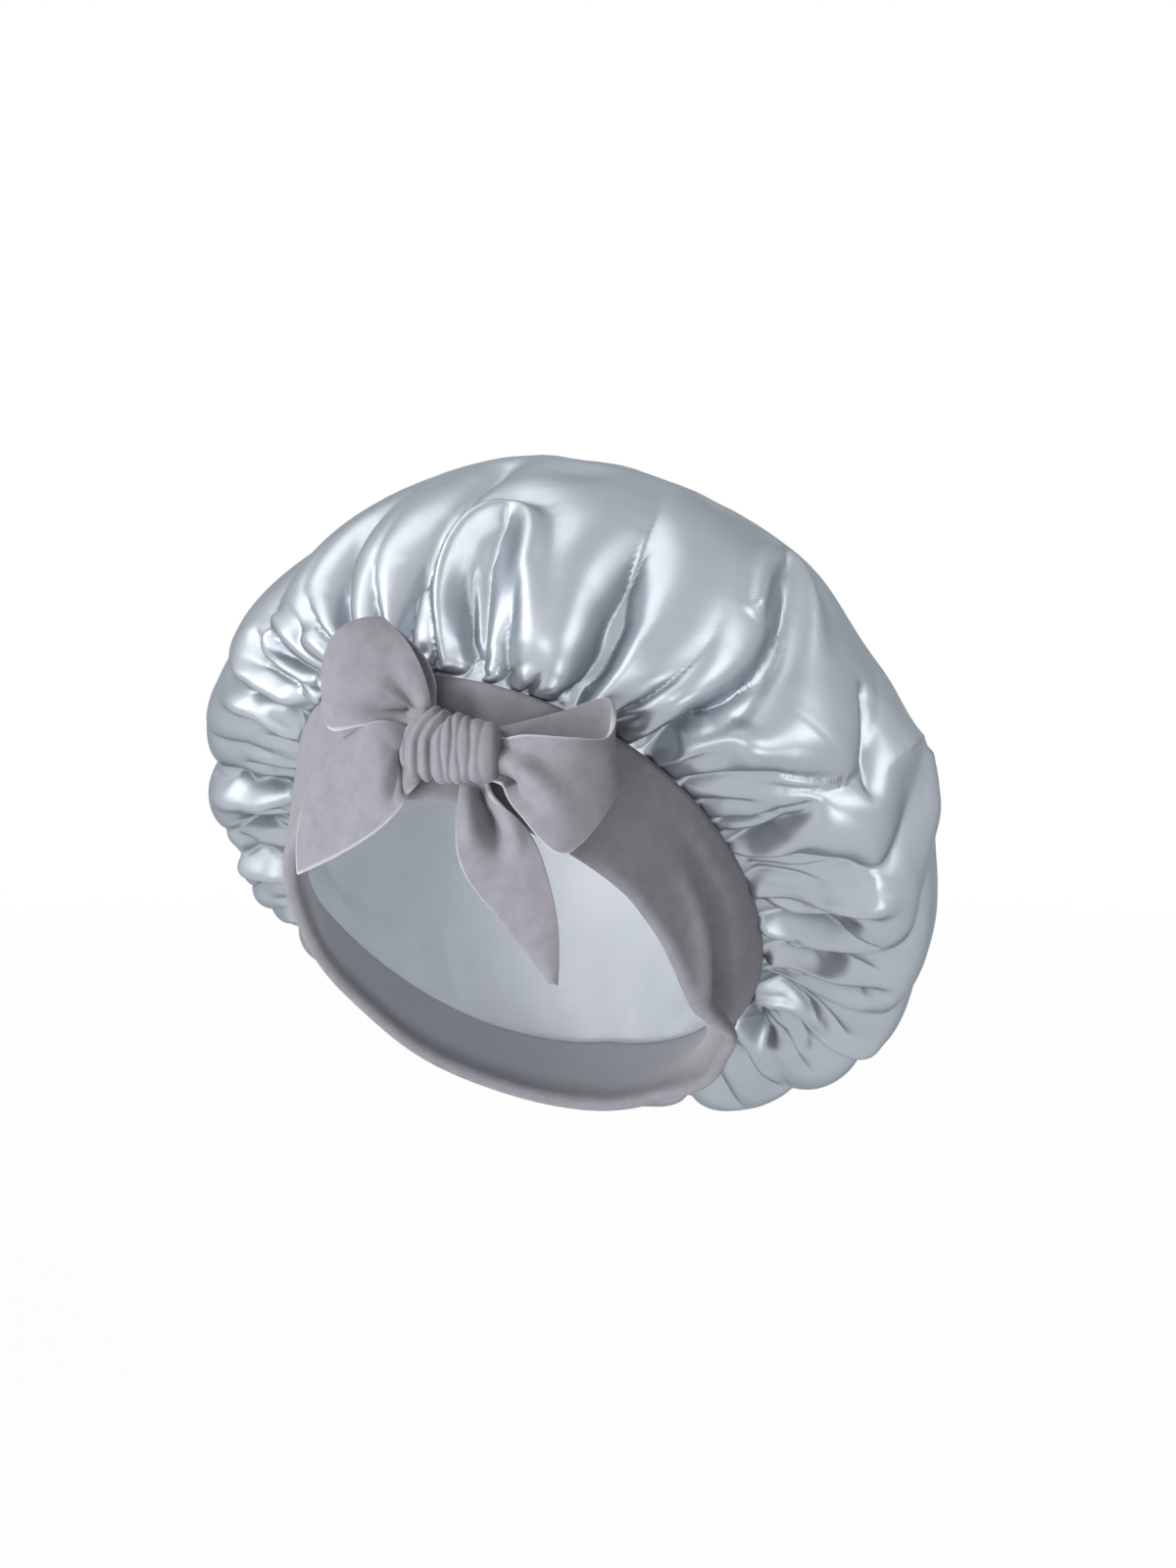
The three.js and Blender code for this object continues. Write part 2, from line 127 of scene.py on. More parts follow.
def smooth_path(points: Sequence[Sequence[float]], shares: Array) -> Array:
    """Follows a smooth curve through some points.

    Args:
        points: Places that the curve goes through, in order.
        shares: How far along the curve, from 0 to 1.

    Returns:
        One place for each share.
    """
    knots = np.asarray(points, float)
    ends = np.vstack([2 * knots[0] - knots[1], knots, 2 * knots[-1] - knots[-2]])
    at = np.clip(shares, 0, 1) * (len(knots) - 1)
    span = np.minimum(at.astype(int), len(knots) - 2)
    t = (at - span)[:, None]
    a, b, c, d = (ends[span + k] for k in range(4))
    return 0.5 * (2 * b + (c - a) * t + (2 * a - 5 * b + 4 * c - d) * t**2 + (3 * b - a - 3 * c + d) * t**3)


@dataclass(frozen=True)
class BandForm:
    """The band as a wall that leans out from the rim, most from the nape to the wearer's right ear."""

    opening_width: float = 161 * MM
    opening_length: float = 201 * MM
    lean_back: float = 49.0
    width: float = 45 * MM
    flare_ends: float = 20 * MM
    flare_sides: float = 6 * MM
    flare_right: float = 20 * MM
    right_fade: Span = (162, 208)
    thickness: float = 5.8 * MM

    def world(self, points: Array) -> Array:
        """Leans places of the bonnet's own frame back."""
        lean = math.radians(self.lean_back)
        x, y, z = np.moveaxis(points, -1, 0)
        back = y * math.cos(lean) + z * math.sin(lean)
        up = z * math.cos(lean) - y * math.sin(lean)
        return np.stack([x, back, up], -1)

    def plumb(self) -> Array:
        """Straight down, in the bonnet's own frame."""
        lean = math.radians(self.lean_back)
        return np.array([0, math.sin(lean), -math.cos(lean)])

    def point(self, angle: Array, up: Array | float, off: Array | float) -> Array:
        """Finds a place on the band.

        Args:
            angle: Angle round the opening, from the wearer's left.
            up: Distance up from the rim.
            off: Distance outwards from the middle of the band's thickness.

        Returns:
            The places, in the bonnet's own frame.
        """
        right = np.maximum(-np.cos(angle), 0) * (1 - ramp(np.mod(np.degrees(angle), 360), *self.right_fade))
        flare = mix(self.flare_sides, self.flare_ends, np.sin(angle) ** 2) + self.flare_right * right
        tilt = np.arcsin(flare / self.width)
        out = up * np.sin(tilt) + off * np.cos(tilt)
        height = up * np.cos(tilt) - off * np.sin(tilt)
        x = (self.opening_width / 2 + out) * np.cos(angle)
        y = (self.opening_length / 2 + out) * np.sin(angle)
        return np.stack([x, y, height], -1)


@dataclass(frozen=True)
class BagForm:
    """Mean surface of a gathered bag.

    Level -1 is its cut edge, 0 its seam, 1 its widest level and 2 its top.
    """

    band: BandForm
    width: float = 290 * MM
    length: float = 262 * MM
    rise: float = 40 * MM
    dome: float = 117 * MM
    lift: float = 5 * MM
    sag: float = 42 * MM
    sag_to_left: float = 0.2
    sag_grows: Span = (0, 0.9)
    sag_ends: Span = (1.1, 2)
    seam_allowance: float = 7 * MM
    exit: float = 46.4 * MM
    off: float = 0.7 * MM

    def surface(self, angle: Array, level: Array) -> Array:
        """Finds places on the bag, in the bonnet's own frame, from angles and levels."""
        widest = self.band.width + self.rise
        equator = np.stack(
            [self.width / 2 * np.cos(angle), self.length / 2 * np.sin(angle), np.full_like(angle, widest)], -1
        )
        cut = self.band.width - self.seam_allowance
        sewn = self.band.point(angle, mix(self.exit, cut, np.clip(-level, 0, 1)), self.off)
        seam = self.band.point(angle, self.exit, self.off)
        turn = equator.copy()
        turn[..., 2] = seam[..., 2] + self.lift
        t = np.clip(level, 0, 1)[..., None]
        skirt = (1 - t) ** 2 * seam + 2 * t * (1 - t) * turn + t**2 * equator
        climb = (np.clip(level, 1, 2) - 1) * math.pi / 2
        top = equator * np.cos(climb)[..., None]
        top[..., 2] = widest + self.dome * np.sin(climb)
        shape = np.where((level <= 0)[..., None], sewn, np.where((level <= 1)[..., None], skirt, top))
        low = (1 + np.sin(angle)) / 2 * (1 + self.sag_to_left * np.cos(angle))
        slack = self.sag * low * ramp(level, *self.sag_grows) * (1 - ramp(level, *self.sag_ends))
        return shape + slack[..., None] * self.band.plumb()

    def normal(self, angle: Array, level: Array) -> Array:
        """Finds the outward direction at places on the bag."""
        step = 0.004
        around = self.surface(angle + step, level) - self.surface(angle - step, level)
        along = self.surface(angle, level + step) - self.surface(angle, level - step)
        return unit(np.cross(around, along))


def flat_sheet(across: int, along: int) -> BMesh:
    """A flat grid of squares whose x and y run from 0 to 1."""
    sheet = bmesh.new()
    bmesh.ops.create_grid(sheet, x_segments=across, y_segments=along, size=0.5)
    bmesh.ops.translate(sheet, vec=(0.5, 0.5, 0), verts=sheet.verts)
    return sheet


def round_sleeve(around: int, along: int) -> BMesh:
    """An open sleeve of radius 1 about z, from z = 0 to 1."""
    sleeve = bmesh.new()
    points = [sleeve.verts.new((1, 0, k / along)) for k in range(along + 1)]
    edges = [sleeve.edges.new(pair) for pair in zip(points, points[1:])]
    bmesh.ops.spin(
        sleeve, geom=points + edges, cent=(0, 0, 0), axis=(0, 0, 1), angle=TURN, steps=around, use_merge=True
    )
    return sleeve


def as_object(name: str, shape: BMesh, place: Place, flat: Place, edge: Place | None = None) -> Object:
    """Makes an object of a mesh and moves its vertices to where they belong.

    Args:
        name: Name of the piece.
        shape: Mesh in its plain starting form; it is freed here.
        place: Gives each vertex's final place from its starting one.
        flat: Gives each vertex's place on the cloth as it was cut, in metres, for the UV map.
        edge: Gives how much painted light each vertex gets, from 0 to 1: a highlight on rolled or sewn edges.

    Returns:
        The new object, linked to the scene.
    """
    mesh = bpy.data.meshes.new(name)
    shape.to_mesh(mesh)
    shape.free()
    start = np.empty(len(mesh.vertices) * 3)
    mesh.vertices.foreach_get("co", start)
    start = start.reshape(-1, 3)
    corners = np.empty(len(mesh.loops), int)
    mesh.loops.foreach_get("vertex_index", corners)
    cloth = mesh.uv_layers.new(name="cloth")
    cloth.uv.foreach_set("vector", flat(start)[corners].astype(np.float32).ravel())
    if edge:
        mark = mesh.attributes.new(PAINTED_LIGHT_ATTRIBUTE, "FLOAT", "POINT")
        mark.data.foreach_set("value", edge(start).astype(np.float32))
    mesh.vertices.foreach_set("co", place(start).ravel())
    mesh.shade_smooth()
    mesh.update()
    piece = bpy.data.objects.new(name, mesh)
    bpy.context.scene.collection.objects.link(piece)
    return piece


def face_out(piece: Object, merge: float = 0.0) -> None:
    """Makes a mesh's faces point outwards, once vertices that are nearer than a distance are merged."""
    shape = bmesh.new()
    shape.from_mesh(piece.data)
    if merge:
        bmesh.ops.remove_doubles(shape, verts=shape.verts, dist=merge)
    bmesh.ops.recalc_face_normals(shape, faces=shape.faces)
    shape.to_mesh(piece.data)
    shape.free()


def thicken(piece: Object, thickness: float, rounds: int = 0) -> None:
    """Gives a sheet its thickness, and rounds its edges by subdivision."""
    wall = piece.modifiers.new("thickness", "SOLIDIFY")
    wall.thickness = thickness
    wall.offset = 0.0
    wall.use_even_offset = False
    if rounds:
        finer = piece.modifiers.new("rounding", "SUBSURF")
        finer.levels = rounds
        finer.render_levels = rounds


def add_node(
    tree: NodeTree,
    kind: str,
    settings: dict[str, object] | None = None,
    links: dict[str | int, NodeSocket] | None = None,
) -> Node:
    """Adds a node to a material or world.

    Args:
        tree: Node tree that gets the node.
        kind: Type name of the node.
        settings: Values by the name of a property or an input socket.
        links: Output sockets of other nodes by the name or number of the input that they feed.

    Returns:
        The new node.
    """
    node = tree.nodes.new(kind)
    for name, value in (settings or {}).items():
        if name in node.bl_rna.properties:
            setattr(node, name, value)
        else:
            node.inputs[name].default_value = value
    for name, socket in (links or {}).items():
        tree.links.new(socket, node.inputs[name])
    return node


def linear(colour: str) -> tuple[float, float, float, float]:
    """Turns an sRGB hex colour to linear values."""
    parts = [int(colour[k : k + 2], 16) / 255 for k in (1, 3, 5)]
    return (*[c / 12.92 if c <= 0.04045 else ((c + 0.055) / 1.055) ** 2.4 for c in parts], 1.0)


def plain_material(name: str) -> tuple[Material, NodeTree, Node]:
    """Makes a material, and gives it with its node tree and its shader."""
    made = bpy.data.materials.new(name)
    made.use_nodes = True
    return made, made.node_tree, made.node_tree.nodes["Principled BSDF"]


def two_tones(tree: NodeTree, noise: Node, dark: str, pale: str) -> NodeSocket:
    """Mixes two colours in clouds, as a noise says, and gives the mixed colour."""
    blend = add_node(
        tree, "ShaderNodeMapRange", {"From Min": 0.3, "From Max": 0.7}, {"Value": noise.outputs["Fac"]}
    )
    tone = add_node(
        tree,
        "ShaderNodeMix",
        {"data_type": "RGBA", "A": linear(dark), "B": linear(pale)},
        {"Factor": blend.outputs["Result"]},
    )
    return tone.outputs[2]


def add_bump(tree: NodeTree, noise: Node, strength: float, height: float) -> None:
    """Lets a noise raise the surface of a material."""
    bump = add_node(
        tree, "ShaderNodeBump", {"Strength": strength, "Distance": height}, {"Height": noise.outputs["Fac"]}
    )
    tree.links.new(bump.outputs["Normal"], tree.nodes["Principled BSDF"].inputs["Normal"])


@dataclass(frozen=True)
class SatinFinish:
    """Charmeuse satin: long warp floats lie on the face, so it is smooth and throws broad soft highlights."""

    name: str
    face: str
    shade: str
    roughness: float
    gloss: float
    lustre: float
    edge: str
    thread: float = 0.9 * MM
    thread_stretch: float = 0.12
    cloud: float = 40 * MM
    uneven: float = 0.05
    bump: float = 0.04
    bump_height: float = 0.1 * MM
    refraction: float = 1.54

    def material(self) -> Material:
        """Builds the node material."""
        made, tree, shader = plain_material(self.name)
        cloth = add_node(tree, "ShaderNodeTexCoord")
        # Threads are drawn coarser than the real 0.1 mm, so that they show at all.
        warp = add_node(
            tree,
            "ShaderNodeMapping",
            {"Scale": (1 / self.thread, self.thread_stretch / self.thread, 1)},
            {"Vector": cloth.outputs["UV"]},
        )
        threads = add_node(
            tree, "ShaderNodeTexNoise", {"Scale": 1.0, "Detail": 2.0}, {"Vector": warp.outputs["Vector"]}
        )
        clouds = add_node(
            tree,
            "ShaderNodeTexNoise",
            {"Scale": 1 / self.cloud, "Detail": 2.0},
            {"Vector": cloth.outputs["Object"]},
        )
        tree.links.new(two_tones(tree, clouds, self.shade, self.face), shader.inputs["Base Color"])
        rough = add_node(
            tree,
            "ShaderNodeMapRange",
            {"To Min": self.roughness - self.uneven, "To Max": self.roughness + self.uneven},
            {"Value": threads.outputs["Fac"]},
        )
        tree.links.new(rough.outputs["Result"], shader.inputs["Roughness"])
        add_bump(tree, threads, self.bump, self.bump_height)
        shader.inputs["Metallic"].default_value = self.lustre
        shader.inputs["Specular Tint"].default_value = linear(self.edge)
        shader.inputs["Specular IOR Level"].default_value = self.gloss
        shader.inputs["IOR"].default_value = self.refraction
        return made


@dataclass(frozen=True)
class KnitFinish:
    """Brushed stretch knit: raised pile over fine loops, matte, with a painted highlight at its edges."""

    name: str
    face: str
    shade: str
    # Colour of the painted highlight on edges and of the painted light on the band's inside
    edge: str = "#BDBCC2"
    sheen: float = 0.15
    sheen_roughness: float = 0.4
    loop: float = 0.9 * MM
    nap_and_painted_light: float = 6 * MM
    roughness: float = 0.85
    gloss: float = 0.2
    bump: float = 0.35
    bump_height: float = 0.3 * MM

    def material(self) -> Material:
        """Builds the node material."""
        made, tree, shader = plain_material(self.name)
        cloth = add_node(tree, "ShaderNodeTexCoord")
        brushed = add_node(
            tree,
            "ShaderNodeTexNoise",
            {"Scale": 1 / self.nap_and_painted_light, "Detail": 6.0, "Roughness": 0.6},
            {"Vector": cloth.outputs["Object"]},
        )
        # Loops are drawn coarser than the real 0.4 mm, so that they show.
        loops = add_node(
            tree,
            "ShaderNodeTexNoise",
            {"Scale": 1 / self.loop, "Detail": 3.0},
            {"Vector": cloth.outputs["Object"]},
        )
        # Painted highlight on rolled and sewn edges and painted light on the band's inside, in the edge
        # colour.
        rolled = add_node(tree, "ShaderNodeAttribute", {"attribute_name": PAINTED_LIGHT_ATTRIBUTE})
        finished = add_node(
            tree,
            "ShaderNodeMix",
            {"data_type": "RGBA", "B": linear(self.edge)},
            {"Factor": rolled.outputs["Fac"], "A": two_tones(tree, brushed, self.shade, self.face)},
        )
        tree.links.new(finished.outputs[2], shader.inputs["Base Color"])
        add_bump(tree, loops, self.bump, self.bump_height)
        shader.inputs["Roughness"].default_value = self.roughness
        shader.inputs["Specular IOR Level"].default_value = self.gloss
        shader.inputs["Sheen Weight"].default_value = self.sheen
        shader.inputs["Sheen Roughness"].default_value = self.sheen_roughness
        return made


CROWN_SATIN = SatinFinish(
    "silver_charmeuse_satin", "#B1B7BE", "#A7ADB4", roughness=0.37, gloss=0.5, lustre=0.82, edge="#98A0A8"
)
LINING_SATIN = SatinFinish(
    "matte_satin_lining", "#EEF2F5", "#E6EBEF", roughness=0.45, gloss=0.4, lustre=0.15, edge="#C8CED4"
)
BAND_KNIT = KnitFinish("brushed_stretch_knit", "#8E8D94", "#828188")
ELASTIC_WEAVE = KnitFinish("woven_elastic", "#E8E6E2", "#D8D6D2", edge="#E8E6E2", sheen=0.1)


def make_final(piece: Object) -> None:
    """Makes a piece's modifiers part of its mesh."""
    graph = bpy.context.evaluated_depsgraph_get()
    plain = piece.data
    piece.data = bpy.data.meshes.new_from_object(piece.evaluated_get(graph))
    piece.modifiers.clear()
    bpy.data.meshes.remove(plain)


def dress(piece: Object, material: Material, slot: Slot, body: Body | None, *nodes: str) -> Object:
    """Gives a piece its finish, its body if it rides on one, and hides the solids that it stands for."""
    piece.data.materials.clear()
    piece.data.materials.append(material)
    if body:
        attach(piece, body.value)
    if nodes:
        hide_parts(*nodes)
    graph = bpy.context.evaluated_depsgraph_get()
    area = sum(face.area for face in piece.evaluated_get(graph).data.polygons)
    LOG.info("%s: %d faces, %.4f m2", piece.name, len(piece.data.polygons), area)
    return piece


@dataclass(frozen=True)
class GatherSet:
    """Folds of about one width, side by side at the seam, each with its own depth, length and drift."""

    count: int
    depth: float
    full: float
    end: float
    seed: int
    jitter: float = 0.5
    variety: float = 0.5
    end_variety: float = 0.35
    drift: float = 0.06
    seam_share: float = 0.2
    sharpness: float = 0.8
    fade_from: float = 0.45

    def height(self, angle: Array, level: Array) -> Array:
        """Gives how far the folds stand out of the mean surface.

        Args:
            angle: Angles round the opening.
            level: Levels up the bag.

        Returns:
            Heights, with ridges above 0 and valleys below.
        """
        draw = np.random.default_rng(self.seed)
        shift = self.jitter * draw.uniform(-0.5, 0.5, self.count)
        middle = (np.arange(self.count) + shift) * TURN / self.count
        strength = 1 - self.variety * draw.uniform(0, 1, self.count)
        reach = self.end * (1 - self.end_variety * draw.uniform(0, 1, self.count))
        lean = self.drift * draw.normal(0, 1, self.count)
        middle = np.concatenate([middle[-1:] - TURN, middle, middle[:1] + TURN])
        strength, reach, lean = (np.concatenate([v[-1:], v, v[:1]]) for v in (strength, reach, lean))
        turn = np.mod(angle, TURN)
        turn = turn - np.interp(turn, middle, lean) * np.clip(level, 0, None)
        turn = np.mod(turn, TURN)
        phase = np.interp(turn, middle, np.arange(-1, self.count + 1))
        wave = 2 * np.abs(np.cos(math.pi * phase)) ** self.sharpness - 1
        stop = np.interp(turn, middle, reach)
        grow = mix(self.seam_share, 1, ramp(level, 0, self.full))
        fade = 1 - ramp(level / stop, self.fade_from, 1)
        return self.depth * np.interp(turn, middle, strength) * wave * grow * fade


@dataclass(frozen=True)
class FoldSet:
    """Folds that run up from the seam side by side, each a valley, with a rounded ridge between each two.

    A fold is given by its degrees round the opening at the seam, half way up and at the widest level, its
    depth in millimetres and the level where it has run out. -90 is the forehead and 0 the wearer's left.
    """

    folds: tuple[tuple[float, float, float, float, float], ...]
    ridge_share: float = 0.6
    roundness: float = 0.8
    grows_from: float = -0.05
    grown: float = 0.6
    full_to: float = 0.9
    least_fade: float = 0.1

    def height(self, angle: Array, level: Array) -> Array:
        """Gives how far the folds stand out of the mean surface, from angles and levels."""
        seam, half, widest, depth, end = (np.array(column, float) for column in zip(*self.folds))
        rows = np.arange(len(angle))
        valley = np.stack(
            [
                np.interp(level, (0, 0.5, 1, 1.5), (low, middle, high, high + (high - middle) / 2))
                for low, middle, high in zip(seam, half, widest)
            ],
            1,
        )
        gap = np.degrees(angle)[:, None] - valley
        past, ahead = np.mod(gap, 360), np.mod(-gap, 360)
        before, after = past.argmin(1), ahead.argmin(1)
        past, ahead = past[rows, before], ahead[rows, after]
        share = past / np.maximum(past + ahead, 1e-9)
        deep = mix(depth[before], depth[after], share) * MM
        stop = np.maximum(mix(end[before], end[after], share), self.full_to + self.least_fade)
        ridge = np.sin(math.pi * share) ** self.roundness
        fade = 1 - ramp((level - self.full_to) / (stop - self.full_to), 0, 1)
        grow = ramp(level, self.grows_from, self.grown)
        return deep * ((1 + self.ridge_share) * ridge - 1) * grow * fade


# Main folds of the crown
MAIN_FOLDS = FoldSet(
    (
        (-62, -64, -66, 8, 1.5), (-45, -43.5, -42, 6, 1.45), (-34, -28, -22, 4, 1.35),
        (-8, -8, -8, 2.5, 1.25), (19, 12, 5, 2, 1.25), (37, 30, 23, 2, 1.3), (42, 42, 42, 2, 1.25),
        (54, 57, 60, 2.5, 1.35), (78, 79.5, 81, 4, 1.45), (103, 101.5, 100, 4, 1.35),
        (115, 117, 119, 6, 1.5), (138, 138, 138, 3, 1.3), (159, 157.5, 156, 2.5, 1.4),
        (177, 175.5, 174, 3, 1.45), (200, 196, 192, 4, 1.4), (228, 221, 214, 4, 1.35),
        (245, 237.5, 230, 4, 1.35), (256, 251, 246, 8, 1.45), (263, 263, 263, 5, 1.4),
        (280, 276.5, 273, 6, 1.3),
    )
)

# Smaller folds between and along the main ones
SMALL_FOLDS = FoldSet(
    (
        # Over the knot and to the wearer's left of it
        (-88, -91, -96, 4, 1.15), (-81, -86, -89, 6, 1.15), (-75.5, -80, -82, 4, 1.1),
        (-62, -65.5, -66.5, 8, 1.4), (-56, -55.5, -53, 5, 1.2), (-45, -48, -44, 6, 1.35),
        (-34, -32, -22, 4, 1.1), (-21, -24, -24, 3, 0.7), (-9, -8, -9, 2, 0.6), (2, 2, -1, 2, 0.6),
        (11, 10, 6, 2.5, 0.6), (20, 16, 12, 2.5, 0.6), (28, 25, 20, 2.5, 0.6), (35, 36, 30, 2.5, 0.6),
        (48, 50, 46, 2.5, 0.6), (60, 60, 58, 3, 0.7),
        # Round the nape
        (69, 69, 68, 3, 0.8), (77, 79, 80, 4, 1.0), (87, 87, 88, 3, 0.8), (96, 97, 98, 4, 1.1),
        (105, 106, 108, 4, 1.1), (115, 117, 119, 6, 1.4), (126, 127, 128, 3, 1.0),
        (136, 137, 138, 3, 1.3), (146, 147, 147, 2.5, 1.1), (157, 156, 156, 3, 1.25),
        (164, 162, 162, 2, 0.9),
        # Over the wearer's right ear and up to the forehead
        (171, 168, 167, 2.5, 1.0), (179, 175, 173, 2, 0.8), (187, 181, 178.5, 2.5, 1.0),
        (200, 193.5, 191, 3, 1.0), (211, 206, 202, 2, 0.9), (220, 215, 208, 2, 0.9),
        (228, 224, 214, 3, 1.1), (236, 231, 220, 2, 0.9), (243, 236.5, 225, 2.5, 1.1),
        (251, 248, 240, 5, 1.25), (256, 252, 246.5, 7, 1.4), (262, 259.5, 255, 5, 1.3),
        (266, 263, 264, 4, 1.4),
    ),
    ridge_share=0.4,
    roundness=0.55,
    grown=0.2,
    full_to=0.45,
)


@dataclass(frozen=True)
class Slack:
    """Broad shallow dents and swells of loose cloth."""

    depth: float
    length: float
    seed: int
    waves: int = 9
    variety: Span = (0.6, 1.5)

    def height(self, places: Array) -> Array:
        """Gives how far the cloth stands out at each place."""
        draw = np.random.default_rng(self.seed)
        ways = unit(draw.normal(0, 1, (self.waves, 3))) * TURN / self.length
        ways = ways * draw.uniform(*self.variety, (self.waves, 1))
        phases = draw.uniform(0, TURN, self.waves)
        return self.depth * np.sin(places @ ways.T + phases).sum(1) / math.sqrt(self.waves)


class Profile(Enum):
    """Section of a crease: a plain swell, a roll with a dip on each side, or a pinch with a sharp middle."""

    SWELL = "swell"
    ROLL = "roll"
    PINCH = "pinch"

    def section(self, away: Array) -> Array:
        """Gives the height, as a share of the depth, at distances from the middle counted in widths."""
        if self is Profile.PINCH:
            return np.exp(-((away + 0.03) ** 0.9)) - 0.2 * np.exp(-((away / 2.5) ** 2))
        if self is Profile.ROLL:
            return (1 - 0.5 * away**2) * np.exp(-(away**2) / 1.5)
        return np.exp(-(away**2))


@dataclass(frozen=True)
class Crease:
    """One fold along a path on a cloth: a ridge, or a valley if its depth is less than 0.

    The path is in the cloth's own two coordinates: (angle in degrees, level) on a bag, and (along, across) on
    a strap.
    """

    path: tuple[Span, ...]
    depth: float
    width: float
    profile: Profile
    start_share: float
    end_share: float
    spread: float = 0.0

    def height(self, surface: Surface, places: Array) -> Array:
        """Gives how far the fold stands out of a surface.

        Args:
            surface: Gives places from the cloth's two coordinates.
            places: Places on the surface.

        Returns:
            A height for each place.
        """
        shares = np.linspace(0, 1, SPINE_POINTS)
        line = smooth_path(self.path, shares)
        spine = surface(line[:, 0], line[:, 1])
        found = np.zeros(len(places))
        near = np.full(len(places), np.inf)
        for start, end, share in zip(spine, spine[1:], shares):
            step = end - start
            part = np.clip((places - start) @ step / max(step @ step, 1e-12), 0, 1)
            gap = ((places - start - part[:, None] * step) ** 2).sum(1)
            closer = gap < near
            near[closer] = gap[closer]
            found[closer] = share + part[closer] * shares[1]
        strength = ramp(found, -0.001, self.start_share) * (1 - ramp(found, 1 - self.end_share, 1.001))
        away = np.sqrt(near) / (self.width * mix(1 - self.spread, 1 + self.spread, found))
        return self.depth * strength * self.profile.section(away)


@dataclass(frozen=True)
class ClothRun:
    """A short run of Blender's cloth, which lets a folded sheet settle, buckle and hang."""

    frames: int = 24
    enlarge: float = 10.0
    growth: float = 0.018
    gravity: float = 0.05
    mass: float = 0.3
    bending: float = 8.0
    stiffness: float = 12.0
    shear_share: float = 0.4
    damping: float = 5.0
    air_damping: float = 4.0
    quality: int = 6
    soft_hold: float = 0.4

    def settle(self, piece: Object, hold: Array) -> Array:
        """Runs the cloth on a sheet.

        Args:
            piece: Sheet in its starting shape.
            hold: How firmly each vertex keeps to its starting place, from 0 to 1.

        Returns:
            How far each vertex has moved.
        """
        mesh = piece.data
        start = np.empty(len(mesh.vertices) * 3)
        mesh.vertices.foreach_get("co", start)
        mesh.vertices.foreach_set("co", start * self.enlarge)
        pins = piece.vertex_groups.new(name="held")
        for weight in np.unique(np.round(hold, 3)):
            members = np.flatnonzero(np.round(hold, 3) == weight)
            if weight > 0:
                pins.add(members.tolist(), float(weight), "REPLACE")
        cloth = piece.modifiers.new("drape", "CLOTH")
        settings = cloth.settings
        settings.quality = self.quality
        settings.mass = self.mass
        settings.tension_stiffness = self.stiffness
        settings.compression_stiffness = self.stiffness
        settings.shear_stiffness = self.stiffness * self.shear_share
        settings.bending_stiffness = self.bending
        settings.tension_damping = self.damping
        settings.compression_damping = self.damping
        settings.shear_damping = self.damping
        settings.air_damping = self.air_damping
        settings.vertex_group_mass = pins.name
        settings.pin_stiffness = 1.0
        settings.shrink_min = -self.growth
        settings.effector_weights.gravity = self.gravity
        cloth.collision_settings.use_collision = False
        cloth.collision_settings.use_self_collision = False
        cloth.point_cache.frame_start = 1
        cloth.point_cache.frame_end = self.frames
        scene = bpy.context.scene
        for frame in range(1, self.frames + 1):
            scene.frame_set(frame)
        graph = bpy.context.evaluated_depsgraph_get()
        end = np.empty_like(start)
        piece.evaluated_get(graph).data.vertices.foreach_get("co", end)
        piece.modifiers.remove(cloth)
        scene.frame_set(1)
        moves = (end / self.enlarge - start).reshape(-1, 3)
        LOG.info("%s settled, at most %.1f mm", piece.name, np.linalg.norm(moves, axis=1).max() / MM)
        return moves


# How a single fold of the crown starts, ends and widens, and how a valley's pinch is scaled
FOLD_START = 0.04
FOLD_END = 0.4
FOLD_SPREAD = 0.4
PINCH_DEPTH = 1.6
PINCH_WIDTH = 1.1


def valley(*path: Span, depth: float, width: float) -> Crease:
    """A pinched valley of the crown that runs up from the seam; depth and width are in millimetres."""
    deep = -PINCH_DEPTH * depth * MM
    return Crease(path, deep, PINCH_WIDTH * width * MM, Profile.PINCH, FOLD_START, FOLD_END, FOLD_SPREAD)


def ridge(*path: Span, depth: float, width: float) -> Crease:
    """A rolled ridge of the crown that runs up from the seam; depth and width are in millimetres."""
    return Crease(path, depth * MM, width * MM, Profile.ROLL, FOLD_START, FOLD_END, FOLD_SPREAD)


